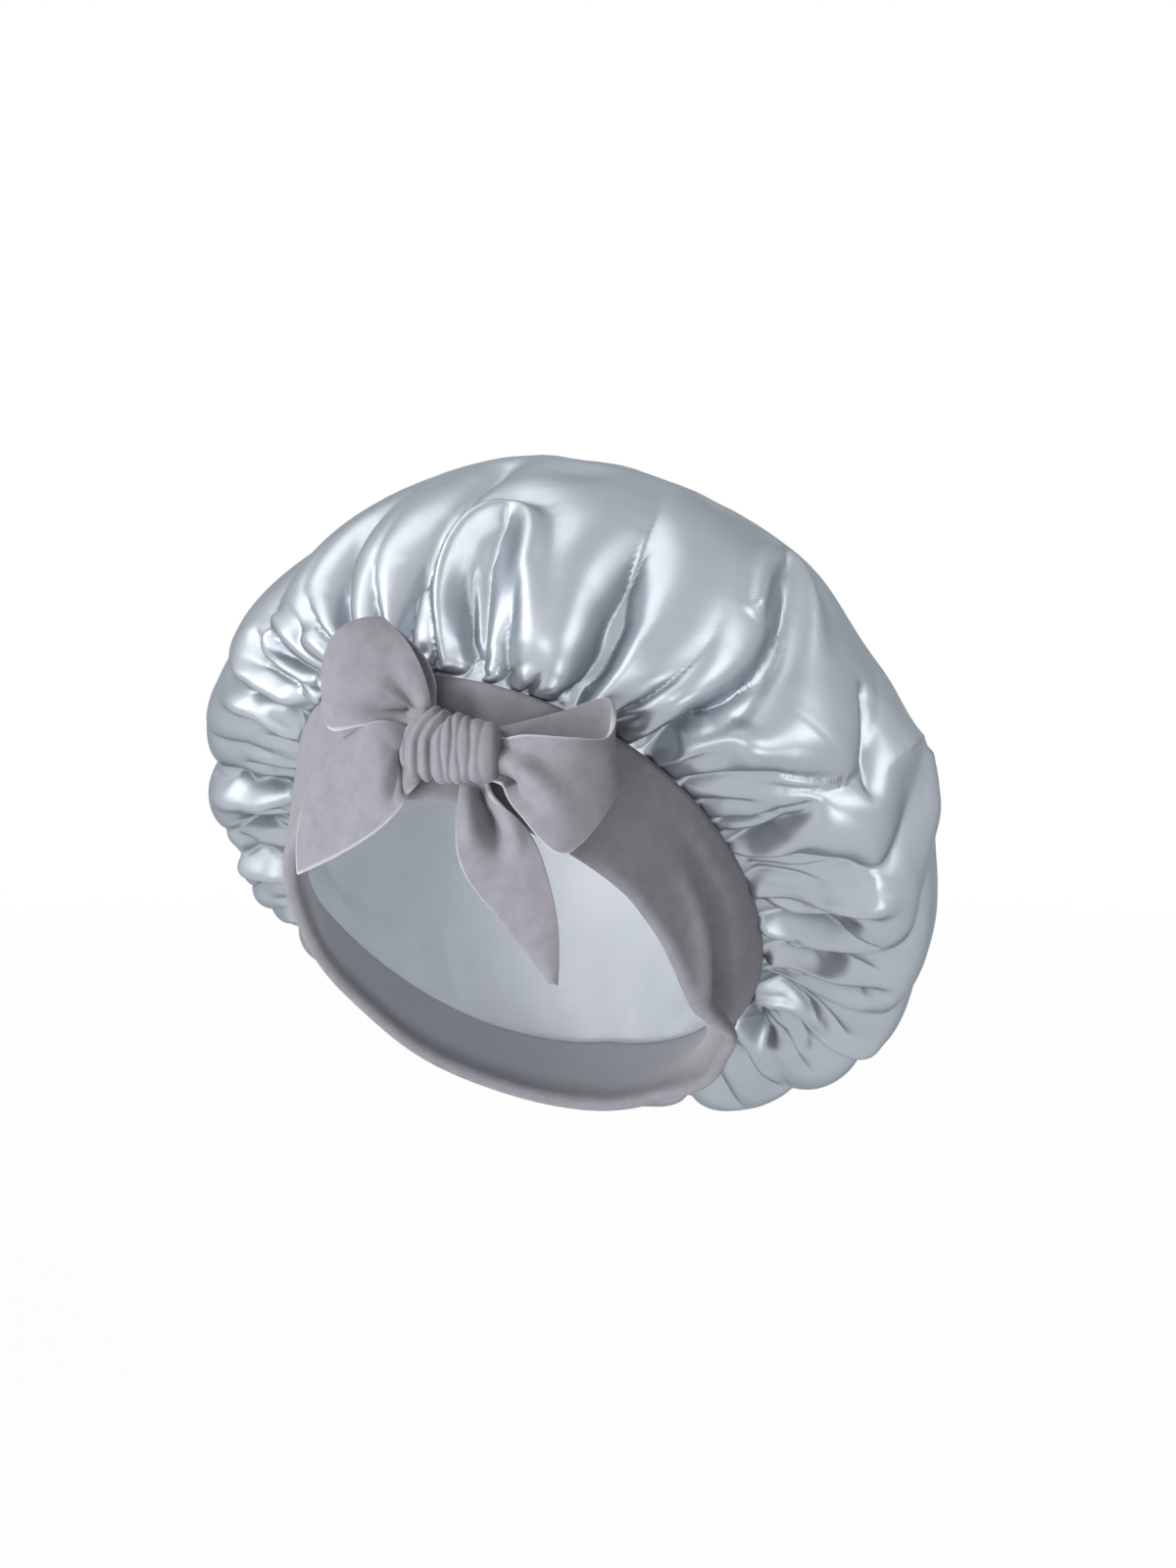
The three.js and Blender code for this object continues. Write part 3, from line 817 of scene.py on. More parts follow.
# Single folds of the crown, as (degrees round the opening, level)
CROWN_FOLDS = (
    # Deep valley over the right loop, with a roll on each side
    valley((-62, 0), (-65, 0.42), (-66, 0.75), (-66.5, 1.0), (-67, 1.2), depth=9, width=6),
    ridge((-60, 0), (-63, 0.4), (-63, 0.8), (-62, 1.15), depth=4, width=6),
    # Upturned loop of satin over the knot
    ridge(
        (-88, 0), (-90, 0.43), (-92, 0.8), (-92, 1.05), (-88, 1.15), (-83, 1.1), (-80, 0.9), (-77, 0.5),
        (-74, 0), depth=5, width=5,
    ),
    valley((-81, 0), (-84, 0.3), (-87, 0.6), (-89, 0.9), (-88, 1.05), depth=5, width=5),
    # Long thin folds up to the left of the loop
    valley((-96, 0.8), (-95.5, 1.1), (-96, 1.3), (-97, 1.45), depth=4, width=4),
    valley((-104, 0), (-108, 0.5), (-111, 0.88), (-115, 1.07), (-118, 1.25), depth=6, width=7),
    # Long valley on the wearer's left that ends in a turned loop
    valley((-45, 0), (-48, 0.5), (-45, 0.93), (-42, 1.08), (-41.5, 1.2), (-44, 1.3), depth=6, width=5),
    ridge(
        (-48, 1.1), (-47.5, 1.25), (-44, 1.36), (-39.5, 1.33), (-37.5, 1.2), (-38.5, 1.05), depth=4, width=6,
    ),
    ridge((-41, 0), (-43, 0.3), (-42, 0.52), (-38, 0.55), (-34, 0.66), depth=4, width=5),
    # Long folds behind the wearer's left ear, narrow at the seam and wider towards the outline
    valley((-17, 0), (-15.5, 0.07), (-18, 0.21), (-21, 0.39), (-25, 0.65), depth=6, width=4),
    ridge((-13, 0), (-12, 0.1), (-14, 0.25), (-18, 0.45), depth=2.5, width=4),
    valley((-6, 0), (-6, 0.1), (-6, 0.25), (-8, 0.5), (-9, 0.75), depth=4, width=7),
    ridge((1, 0), (3, 0.18), (0, 0.43), (-2, 0.64), (-4, 0.78), depth=5, width=6),
    valley((6, 0), (10, 0.16), (8, 0.35), (4, 0.5), depth=6, width=6),
    ridge((11, 0), (16, 0.1), (16, 0.2), (12, 0.4), (8, 0.72), depth=4.5, width=5),
    valley((16, 0), (21, 0.13), (20, 0.25), (17, 0.42), depth=6, width=6),
    ridge((25, 0.03), (27, 0.12), (27, 0.2), (22, 0.37), (16, 0.52), depth=3.5, width=5),
    valley((31, 0), (30, 0.16), (27, 0.35), (23, 0.51), (18, 0.7), depth=6, width=4),
    valley((35, 0), (37, 0.12), (39, 0.28), (37, 0.5), depth=8, width=6),
    ridge((40, 0), (41, 0.18), (40, 0.41), (37, 0.7), (36, 0.85), depth=4, width=5),
    valley((43, 0), (52, 0.17), (53, 0.36), depth=8, width=6),
    valley((43, 0.12), (45, 0.32), (47, 0.46), depth=4, width=5),
    ridge((53, 0.02), (58, 0.31), (60, 0.62), depth=4, width=5),
    # Wing that stands out behind the wearer's left ear, with a sharp crease up to its corner
    Crease(((-20, 1.03), (-15, 1.14), (-10, 1.23), (-4, 1.3)), 6 * MM, 11 * MM, Profile.PINCH, 0.5, 0.3, 0.2),
    Crease(((-5, 1.27), (-1, 1.18), (-2, 1.0)), 5 * MM, 13 * MM, Profile.SWELL, 0.1, 0.5),
    valley((-25, 1.2), (-23, 1.1), (-20, 1.0), (-18, 0.9), depth=3, width=5),
    # Lapped folds over the wearer's right ear, each a dark valley over a lip
    valley((-114, 0), (-116, 0.29), (-118.5, 0.54), (-119, 0.73), (-126, 1.03), depth=4, width=5),
    ridge(
        (-118, 0.04), (-123, 0.25), (-126, 0.5), (-129, 0.77), (-126, 0.85), (-123.5, 0.76), (-120, 0.5),
        (-117.5, 0.26), (-116.5, 0.02), depth=3.5, width=3.5,
    ),
    valley((-121, 0), (-124, 0.2), (-127, 0.45), (-132, 0.8), (-133, 1.0), depth=5, width=5),
    ridge((-124, 0), (-126, 0.12), (-131, 0.3), (-134, 0.5), (-137, 0.77), (-143, 1.0), depth=4, width=4.5),
    valley((-137, 0), (-136, 0.17), (-138, 0.36), (-137, 0.58), depth=6, width=5),
    ridge((-140, 0), (-141, 0.16), (-141.5, 0.35), (-144, 0.55), (-148, 0.8), depth=4.5, width=4.5),
    valley((-155, 0), (-158, 0.08), (-158, 0.18), depth=3, width=3),
    valley((-160, 0), (-163, 0.06), (-166, 0.26), (-165, 0.46), (-166, 0.74), depth=6, width=4.5),
    ridge((-164, 0), (-166, 0.1), (-169, 0.26), (-170, 0.5), (-170, 0.7), depth=4, width=4.5),
    valley((-172, 0), (-174, 0.07), (-176, 0.26), (-176, 0.5), depth=5, width=4.5),
    valley((173, 0), (174.5, 0.1), (176, 0.25), (179, 0.37), (182, 0.51), depth=6, width=4.5),
    ridge((171, 0), (172, 0.27), (174, 0.5), (177, 0.62), depth=4, width=4.5),
    ridge((164, 0), (162, 0.15), (159, 0.41), depth=3, width=4.5),
)


# Soft folds of the lining, which hangs slack inside; a fold that stands in towards the head is less than 0
LINING_FOLDS = (
    Crease(((205, 0.42), (172, 0.42), (145, 0.4), (118, 0.34)), -3 * MM, 13 * MM, Profile.SWELL, 0.3, 0.5),
    Crease(((192, 0.62), (170, 0.6), (146, 0.56), (122, 0.46)), 3 * MM, 9 * MM, Profile.SWELL, 0.3, 0.4),
    Crease(((225, 1.0), (195, 1.02), (165, 1.05), (135, 1.08)), -7 * MM, 15 * MM, Profile.SWELL, 0.3, 0.4),
    Crease(((240, 1.3), (200, 1.35), (150, 1.4), (115, 1.4)), 3 * MM, 14 * MM, Profile.SWELL, 0.3, 0.4),
    Crease(((30, 0.5), (50, 0.62), (70, 0.75)), -4 * MM, 12 * MM, Profile.SWELL, 0.3, 0.5),
)


@dataclass
class SatinBag:
    """A bag cut as one round of cloth and gathered into the seam: the crown or its lining."""

    name: str
    form: BagForm
    gathers: tuple[GatherSet, ...]
    folds: tuple[Crease, ...] = ()
    fold_sets: tuple[FoldSet, ...] = ()
    slack: Slack | None = None
    cells: int = 200
    draft_cells: int = 96
    crowding: float = 1.3
    spans: tuple[float, float, float] = (8.4 * MM, 75 * MM, 200 * MM)
    cut_across: float = CROWN_CUT
    ply: float = 0.6 * MM
    run: ClothRun | None = None
    inner: Object | None = None
    clearance: float = 2.5 * MM
    slack_grows: Span = (0.3, 1)
    folds_grow: Span = (-0.4, 0.1)
    held_to: float = 0.03

    def polar(self, start: Array) -> tuple[Array, Array]:
        """Turns places on a square grid to the radius, from 0 to 1, and the angle of a round."""
        x, y = start[:, 0], start[:, 1]
        radius = np.maximum(np.abs(x), np.abs(y))
        safe = np.where(radius > 0, radius, 1)
        side = np.abs(x) >= np.abs(y)
        quarter = math.pi / 4
        from_x = quarter * y / np.where(side, np.where(x == 0, 1, x), 1)
        from_y = quarter * x / np.where(side, safe, np.where(y == 0, 1, y))
        along_x = from_x + np.where(x < 0, math.pi, 0)
        along_y = math.pi / 2 - from_y + np.where(y < 0, math.pi, 0)
        return radius, np.where(side, along_x, along_y)

    def levels(self, radius: Array) -> Array:
        """Gives the level of each radius, with rows closer together near the seam."""
        total = sum(self.spans)
        run = total * (1 - radius) ** self.crowding
        ends = np.cumsum([0, *self.spans])
        return np.interp(run, ends, [-1, 0, 1, 2])

    def by_degrees(self, degrees: Array, level: Array) -> Array:
        """Finds places on the mean surface from angles in degrees and levels."""
        return self.form.surface(np.radians(degrees), level)

    def place(self, start: Array) -> Array:
        """Puts the grid's vertices on the folded bag."""
        radius, angle = self.polar(start)
        level = self.levels(radius)
        mean = self.form.surface(angle, level)
        # The outward direction is unclear at the very top, and below the seam it is the seam's.
        below_top = np.minimum(level, 1.97)
        out = self.form.normal(angle, np.where(level < 0, 0.02, below_top))
        height = sum(gathers.height(angle, level) for gathers in self.gathers)
        for fold in self.folds:
            height = height + fold.height(self.by_degrees, mean)
        for folds in self.fold_sets:
            height = height + folds.height(angle, level)
        if self.slack:
            height = height + self.slack.height(mean) * ramp(level, *self.slack_grows)
        height = height * ramp(level, *self.folds_grow)
        spots = self.form.band.world(mean)
        away = self.form.band.world(out)
        if self.inner:
            height = np.maximum(height, self.clearance - self.room(spots, away))
        return spots + away * height[:, None]

    def room(self, spots: Array, away: Array) -> Array:
        """Measures how far inside each spot the inner bag lies; far off where it isn't below the spot."""
        mesh = self.inner.data
        tree = BVHTree.FromPolygons([v.co for v in mesh.vertices], [f.vertices for f in mesh.polygons])
        found = [tree.ray_cast(Vector(spot), Vector(-out))[3] for spot, out in zip(spots, away)]
        return np.array([1.0 if gap is None else gap for gap in found])

    def flat(self, start: Array) -> Array:
        """Gives each vertex's place on the flat round of cloth."""
        radius, angle = self.polar(start)
        return np.stack([radius * np.cos(angle), radius * np.sin(angle)], -1) * self.cut_across / 2

    def settled(self) -> Place:
        """Lets a coarse draft of the bag settle as cloth, and gives how far any place on the grid moves."""
        grid = bmesh.new()
        bmesh.ops.create_grid(grid, x_segments=self.draft_cells, y_segments=self.draft_cells, size=1)
        start = np.array([v.co for v in grid.verts])
        draft = as_object(self.name + "_draft", grid, self.place, self.flat)
        level = self.levels(self.polar(start)[0])
        moves = self.run.settle(draft, np.where(level < self.held_to, 1.0, self.run.soft_hold))
        bpy.data.meshes.remove(draft.data)
        side = self.draft_cells + 1
        rows = np.lexsort((np.round(start[:, 0], 5), np.round(start[:, 1], 5)))
        table = moves[rows].reshape(side, side, 3)

        def move(places: Array) -> Array:
            at = np.clip((places[:, :2] + 1) / 2 * self.draft_cells, 0, self.draft_cells - 1e-6)
            cell = at.astype(int)
            x, y = (at - cell).T[..., None]
            i, j = cell.T
            near = mix(table[j, i], table[j, i + 1], x)
            return mix(near, mix(table[j + 1, i], table[j + 1, i + 1], x), y)

        return move

    def build(self) -> Object:
        """Makes the bag's mesh, moves it as its cloth settles and gives it its ply."""
        grid = bmesh.new()
        bmesh.ops.create_grid(grid, x_segments=self.cells, y_segments=self.cells, size=1)
        move: Place = np.zeros_like
        if self.run:
            move = self.settled()

        def place(start: Array) -> Array:
            return self.place(start) + move(start)

        bag = as_object(self.name, grid, place, self.flat)
        if self.ply:
            thicken(bag, self.ply)
        return bag


@dataclass
class Band:
    """Strip of knit folded in half along the rim round flat elastic, with both edges up at the seam."""

    form: BandForm
    slack: Slack = Slack(0.5 * MM, 80 * MM, seed=5)
    strip_length: float = 650 * MM
    strip_width: float = 90 * MM
    wall: float = 1.3 * MM
    around: int = 420
    across: int = 44
    # Elastic, from and to a distance up from the rim
    elastic: Span = (3.3 * MM, 37.6 * MM)
    elastic_length: float = 600 * MM
    elastic_width: float = 34 * MM
    elastic_thickness: float = 1.6 * MM
    elastic_across: int = 8
    # Corner at the wearer's left ear, with spans in degrees round the opening or in distances up from the rim
    drawn_in: float = 5 * MM
    drawn_span: Span = (-45, 2)
    drawn_up: Span = (0, 30 * MM)
    flap: float = 8 * MM
    flap_starts: Span = (12.0, 19.0)
    flap_ends: Span = (34, 62)
    flap_up: Span = (1 * MM, 18 * MM)
    crest: float = 3.0 * MM
    crest_spread: float = 8
    crest_up: Span = (12 * MM, 26 * MM)
    hollow: float = 6 * MM
    hollow_after: float = 19
    hollow_spread: float = 11
    hollow_rises: Span = (3 * MM, 12 * MM)
    hollow_falls: Span = (22 * MM, 38 * MM)
    slant: float = 1.65 / MM
    # Where the band keeps to its plain form, and where the painted light on its inside starts
    seam_up: Span = (30 * MM, 40 * MM)
    bow_angle: float = -82.0
    bow_reach: Span = (45.0, 60.0)
    inner_painted_light: float = 0.85
    painted_light_span: Span = (0.53, 0.7)

    def corner(self, angle: Array, up: Array) -> Array:
        """Gives how far the band stands out at the wearer's left ear, where its front end laps over the nape.

        Args:
            angle: Angles round the opening.
            up: Distances up from the rim.

        Returns:
            Heights: the rim is drawn in before the corner and stands out after it, and a crest runs up from
            the corner with a hollow behind it.
        """
        degrees = np.mod(np.degrees(angle) + 180, 360) - 180
        after = ramp(degrees, *self.flap_starts)
        drawn = ramp(degrees, *self.drawn_span) * (1 - after) * (1 - ramp(up, *self.drawn_up))
        flap = after * (1 - ramp(degrees, *self.flap_ends)) * (1 - ramp(up, *self.flap_up))
        along = degrees + self.slant * up - self.flap_starts[1]
        crest = np.exp(-((along / self.crest_spread) ** 2)) * (1 - ramp(up, *self.crest_up))
        behind = np.exp(-(((along - self.hollow_after) / self.hollow_spread) ** 2))
        hollow = behind * ramp(up, *self.hollow_rises) * (1 - ramp(up, *self.hollow_falls))
        return self.flap * flap - self.drawn_in * drawn + self.crest * crest - self.hollow * hollow

    def sway(self, angle: Array, up: Array) -> Array:
        """Gives how far the band stands out of its plain form: nothing at the seam and behind the bow."""
        height = self.slack.height(self.form.point(angle, up, 0.0)) + self.corner(angle, up)
        from_bow = np.abs(np.mod(np.degrees(angle) - self.bow_angle + 180, 360) - 180)
        return height * ramp(from_bow, *self.bow_reach) * (1 - ramp(up, *self.seam_up))

    def section(self, share: Array) -> tuple[Array, Array]:
        """Follows the folded strip from its outer edge down round the rim and up to its inner edge.

        Args:
            share: How far across the strip, from 0 to 1.

        Returns:
            Distances up from the rim and off the middle of the band.
        """
        half = (self.form.thickness - self.wall) / 2
        straight = self.form.width - half
        bend = math.pi * half
        run = share * (2 * straight + bend)
        turn = np.clip((run - straight) / half, 0, math.pi)
        outer = self.form.width - run
        inner = run - straight - bend + half
        rim = half * (1 - np.sin(turn))
        up = np.where(run < straight, outer, np.where(run > straight + bend, inner, rim))
        off = half * np.cos(turn)
        return up, off

    def place(self, start: Array) -> Array:
        """Puts the sleeve's vertices on the folded band."""
        angle = np.arctan2(start[:, 1], start[:, 0])
        up, off = self.section(start[:, 2])
        return self.form.world(self.form.point(angle, up, off + self.sway(angle, up)))

    def elastic_place(self, start: Array) -> Array:
        """Puts a sleeve's vertices on the elastic inside the band."""
        angle = np.arctan2(start[:, 1], start[:, 0])
        up = mix(*self.elastic, start[:, 2])
        return self.form.world(self.form.point(angle, up, self.sway(angle, up)))

    def flat(self, start: Array) -> Array:
        """Gives each vertex's place on the flat strip."""
        angle = np.arctan2(start[:, 1], start[:, 0])
        return np.stack([angle / TURN * self.strip_length, start[:, 2] * self.strip_width], -1)

    def nap_and_painted_light(self, start: Array) -> Array:
        """Gives the painted light on the band: none outside, most on the inside, which lies in shade."""
        return self.inner_painted_light * ramp(start[:, 2], *self.painted_light_span)

    def build(self, knit: Material, weave: Material) -> None:
        """Makes and dresses the folded strip and the elastic in it."""
        sleeve = round_sleeve(self.around, self.across)
        # The band's inside gets painted light through the edge attribute
        strip = as_object("band_casing_knit", sleeve, self.place, self.flat, self.nap_and_painted_light)
        face_out(strip)
        thicken(strip, self.wall)
        dress(strip, knit, Slot.KNIT, Body.BONNET, "band_casing")
        sleeve = round_sleeve(self.around, self.elastic_across)
        elastic = as_object("band_elastic_ribbon", sleeve, self.elastic_place, self.flat)
        face_out(elastic)
        thicken(elastic, self.elastic_thickness)
        dress(elastic, weave, Slot.ELASTIC, Body.BONNET, "band_elastic")


@dataclass
class Strap:
    """A loop or tail of the tie: knit turned and pressed flat, drawn between its two edges.

    The edges are given in millimetres in the bow's frame: x along the knot to the wearer's left, y up across
    the band and z off it, from the middle of the knot on the band's face.
    """

    name: str
    node: str
    body: Body
    high: tuple[Point, ...]
    low: tuple[Point, ...]
    flat_size: Span
    flat_area: float | None = None
    creases: tuple[Crease, ...] = ()
    belly: float = 0.0
    tip_at: float = 1.0
    tip_bulge: Point = (0, 0, 0)
    tip_reach: float = 0.25
    is_tail: bool = False
    along: int = 64
    across: int = 32
    thickness: float = 2.2 * MM
    bends_to: float = 0.3

    def bend(self) -> Array:
        """Gives where the strap starts to bend as it leaves the knot, and where it is free of it."""
        return self.base(np.array([0.0, self.bends_to]), np.array([0.5, 0.5]))

    def base(self, along: Array, across: Array) -> Array:
        """Finds places on the smooth strap from shares along and across it."""
        high = smooth_path(self.high, along) * MM
        low = smooth_path(self.low, along) * MM
        arch = 4 * across * (1 - across)
        lift = np.zeros_like(high)
        lift[:, 2] = self.belly * arch
        near_tip = np.clip(1 - np.abs(along - self.tip_at) / self.tip_reach, 0, 1)
        bulge = np.asarray(self.tip_bulge) * MM * (arch * ramp(near_tip, 0, 1))[:, None]
        return mix(high, low, across[:, None]) + lift + bulge

    def place(self, start: Array) -> Array:
        """Puts the sheet's vertices on the creased strap, in the bow's frame."""
        along, across = start[:, 0], start[:, 1]
        mean = self.base(along, across)
        step = 0.004
        run = self.base(np.minimum(along + step, 1), across) - self.base(np.maximum(along - step, 0), across)
        side = self.base(along, np.minimum(across + step, 1)) - self.base(along, np.maximum(across - step, 0))
        out = unit(np.cross(side, run))
        out *= np.sign(out[along < 0.2, 2].mean())
        height = np.zeros(len(start))
        for crease in self.creases:
            height += crease.height(self.base, mean)
        return mean + out * height[:, None]

    def edge(self, start: Array) -> Array:
        """Marks where the painted highlight goes: 1 on the strap's edges and a tail's end, 0 elsewhere."""
        along, across = start[:, 0], start[:, 1]
        side = (across < 0.001) | (across > 0.999)
        return np.where(side | ((along > 0.999) & self.is_tail), 1.0, 0.0)

    def flat(self, start: Array) -> Array:
        """Gives each vertex's place on the flat strap."""
        return start[:, :2] * np.asarray(self.flat_size)


# Loops and tails of the bow
STRAPS = (
    Strap(
        "tie_loop_left_strap",
        "tie_loop_left",
        Body.LOOP_LEFT,
        high=(
            (-8, 13, 9), (-9.5, 24, 14), (-15.5, 35.5, 15), (-26, 45.5, 10),
            (-13.5, 35, 6), (-7.5, 24, 6), (-7, 14, 7),
        ),
        low=(
            (-15, 7, 9), (-30, 6, 14), (-42, 4, 13.5), (-46, 9, 8),
            (-42, 10, 3), (-28, 9, 4), (-13, 8, 7),
        ),
        flat_size=(0.1, 0.04),
        flat_area=0.0034,
        tip_at=0.5,
        tip_bulge=(-9, 10, 0),
        tip_reach=0.5,
        belly=2.5 * MM,
        creases=(
            Crease(((0.03, 0.38), (0.12, 0.35), (0.3, 0.32)), -6 * MM, 4 * MM, Profile.ROLL, 0.05, 0.8, 0.4),
            Crease(
                ((0.03, 0.66), (0.12, 0.74), (0.3, 0.84)), -6 * MM, 3.6 * MM, Profile.ROLL, 0.05, 0.7, 0.4
            ),
            Crease(((0.04, 0.52), (0.15, 0.55), (0.24, 0.57)), -3 * MM, 2.4 * MM, Profile.PINCH, 0.05, 0.8),
        ),
    ),
    Strap(
        "tie_loop_right_strap",
        "tie_loop_right",
        Body.LOOP_RIGHT,
        high=(
            (14, 3.5, 8), (28, 2.6, 16), (45, 1.2, 17), (56.5, 3, 9),
            (55, 18.3, 0), (36, 13, -0.5), (14, 6, 5),
        ),
        low=(
            (13, -12, 8), (27, -26, 15), (43.5, -40, 12), (59.5, -17, 5),
            (48, -12, -1), (28, -8, 0.5), (14, -5, 4.5),
        ),
        flat_size=(0.105, 0.044),
        flat_area=0.0036,
        belly=1.5 * MM,
        creases=(
            Crease(
                ((0.02, 0.86), (0.1, 0.76), (0.3, 0.66)), -9 * MM, 4.2 * MM, Profile.SWELL, 0.05, 0.7, 0.3
            ),
            Crease(((0.13, 0.44), (0.22, 0.48), (0.38, 0.6)), 5 * MM, 4.5 * MM, Profile.SWELL, 0.4, 0.6, 0.3),
            Crease(((0.02, 0.14), (0.14, 0.2), (0.3, 0.28)), -4 * MM, 4.5 * MM, Profile.SWELL, 0.05, 0.7),
        ),
    ),
    Strap(
        "tie_tail_left_strap",
        "tie_tail_left",
        Body.TAIL_LEFT,
        high=((-13, 5, 9), (-24, 7.7, 14.5), (-34, 5.2, 12.5), (-45.5, -2, 6)),
        low=((-11, -12, 9), (-14.5, -22, 14.5), (-24, -31, 12), (-40, -39.5, 6), (-57, -46, 0)),
        flat_size=(0.046, 0.046),
        belly=1.5 * MM,
        tip_bulge=(-4, 1, 0),
        tip_reach=0.4,
        is_tail=True,
        creases=(
            Crease(
                ((0.02, 0.3), (0.12, 0.55), (0.2, 0.85), (0.24, 1.0)),
                -6 * MM, 2.6 * MM, Profile.ROLL, 0.05, 0.3,
            ),
            Crease(
                ((0.08, 0.2), (0.24, 0.5), (0.34, 0.75), (0.4, 0.95)),
                -4 * MM, 2.8 * MM, Profile.ROLL, 0.2, 0.4,
            ),
            Crease(((0.22, 0.2), (0.34, 0.4), (0.46, 0.6)), -2 * MM, 3 * MM, Profile.ROLL, 0.3, 0.6),
        ),
    ),
    Strap(
        "tie_tail_centre_strap",
        "tie_tail_centre",
        Body.TAIL_CENTRE,
        high=(
            (13, -10, 8), (18, -20, 12), (28.8, -30.3, 9), (34.5, -42, 5), (38, -60, -4),
            (37.6, -74, -11), (36, -83, -15),
        ),
        low=(
            (4, -10, 8), (4.3, -24, 11.5), (3.2, -36, 8.5), (7, -48, 4), (19, -62.5, -3.5),
            (28.8, -74.7, -10), (35, -82.5, -15),
        ),
        flat_size=(0.076, 0.03),
        belly=1 * MM,
        is_tail=True,
        creases=(
            Crease(
                ((0.03, 0.34), (0.14, 0.34), (0.26, 0.42), (0.38, 0.48), (0.54, 0.5)),
                -11 * MM, 4.2 * MM, Profile.SWELL, 0.05, 0.5, 0.3,
            ),
            Crease(((0.1, 0.62), (0.25, 0.72), (0.38, 0.8)), 2.5 * MM, 3 * MM, Profile.SWELL, 0.2, 0.5),
            Crease(((0.2, 0.08), (0.34, 0.2), (0.5, 0.34)), 2.5 * MM, 3.5 * MM, Profile.SWELL, 0.3, 0.5),
        ),
    ),
)

# Outline of the knot as (along, across) and its pleats as (along, depth, width), in millimetres
KNOT_HIGH = ((-19, 3), (-15, 9), (-10, 13.5), (-6, 14.5), (0, 12.5), (8, 9.5), (19, 7.0))
KNOT_LOW = ((-19, -10), (-14, -13.5), (0, -14.5), (14, -14), (19, -12.5))
BOLD_PLEATS = ((-15.6, 2.0, 1.2), (-10.8, 2.2, 1.2), (-6.2, 2.6, 1.0))
FINE_PLEATS = ((-1.5, 0.7, 0.9), (1.6, 0.9, 0.9), (4.6, 0.6, 0.8), (8.4, 0.8, 1.0), (12.2, 0.4, 1.0))


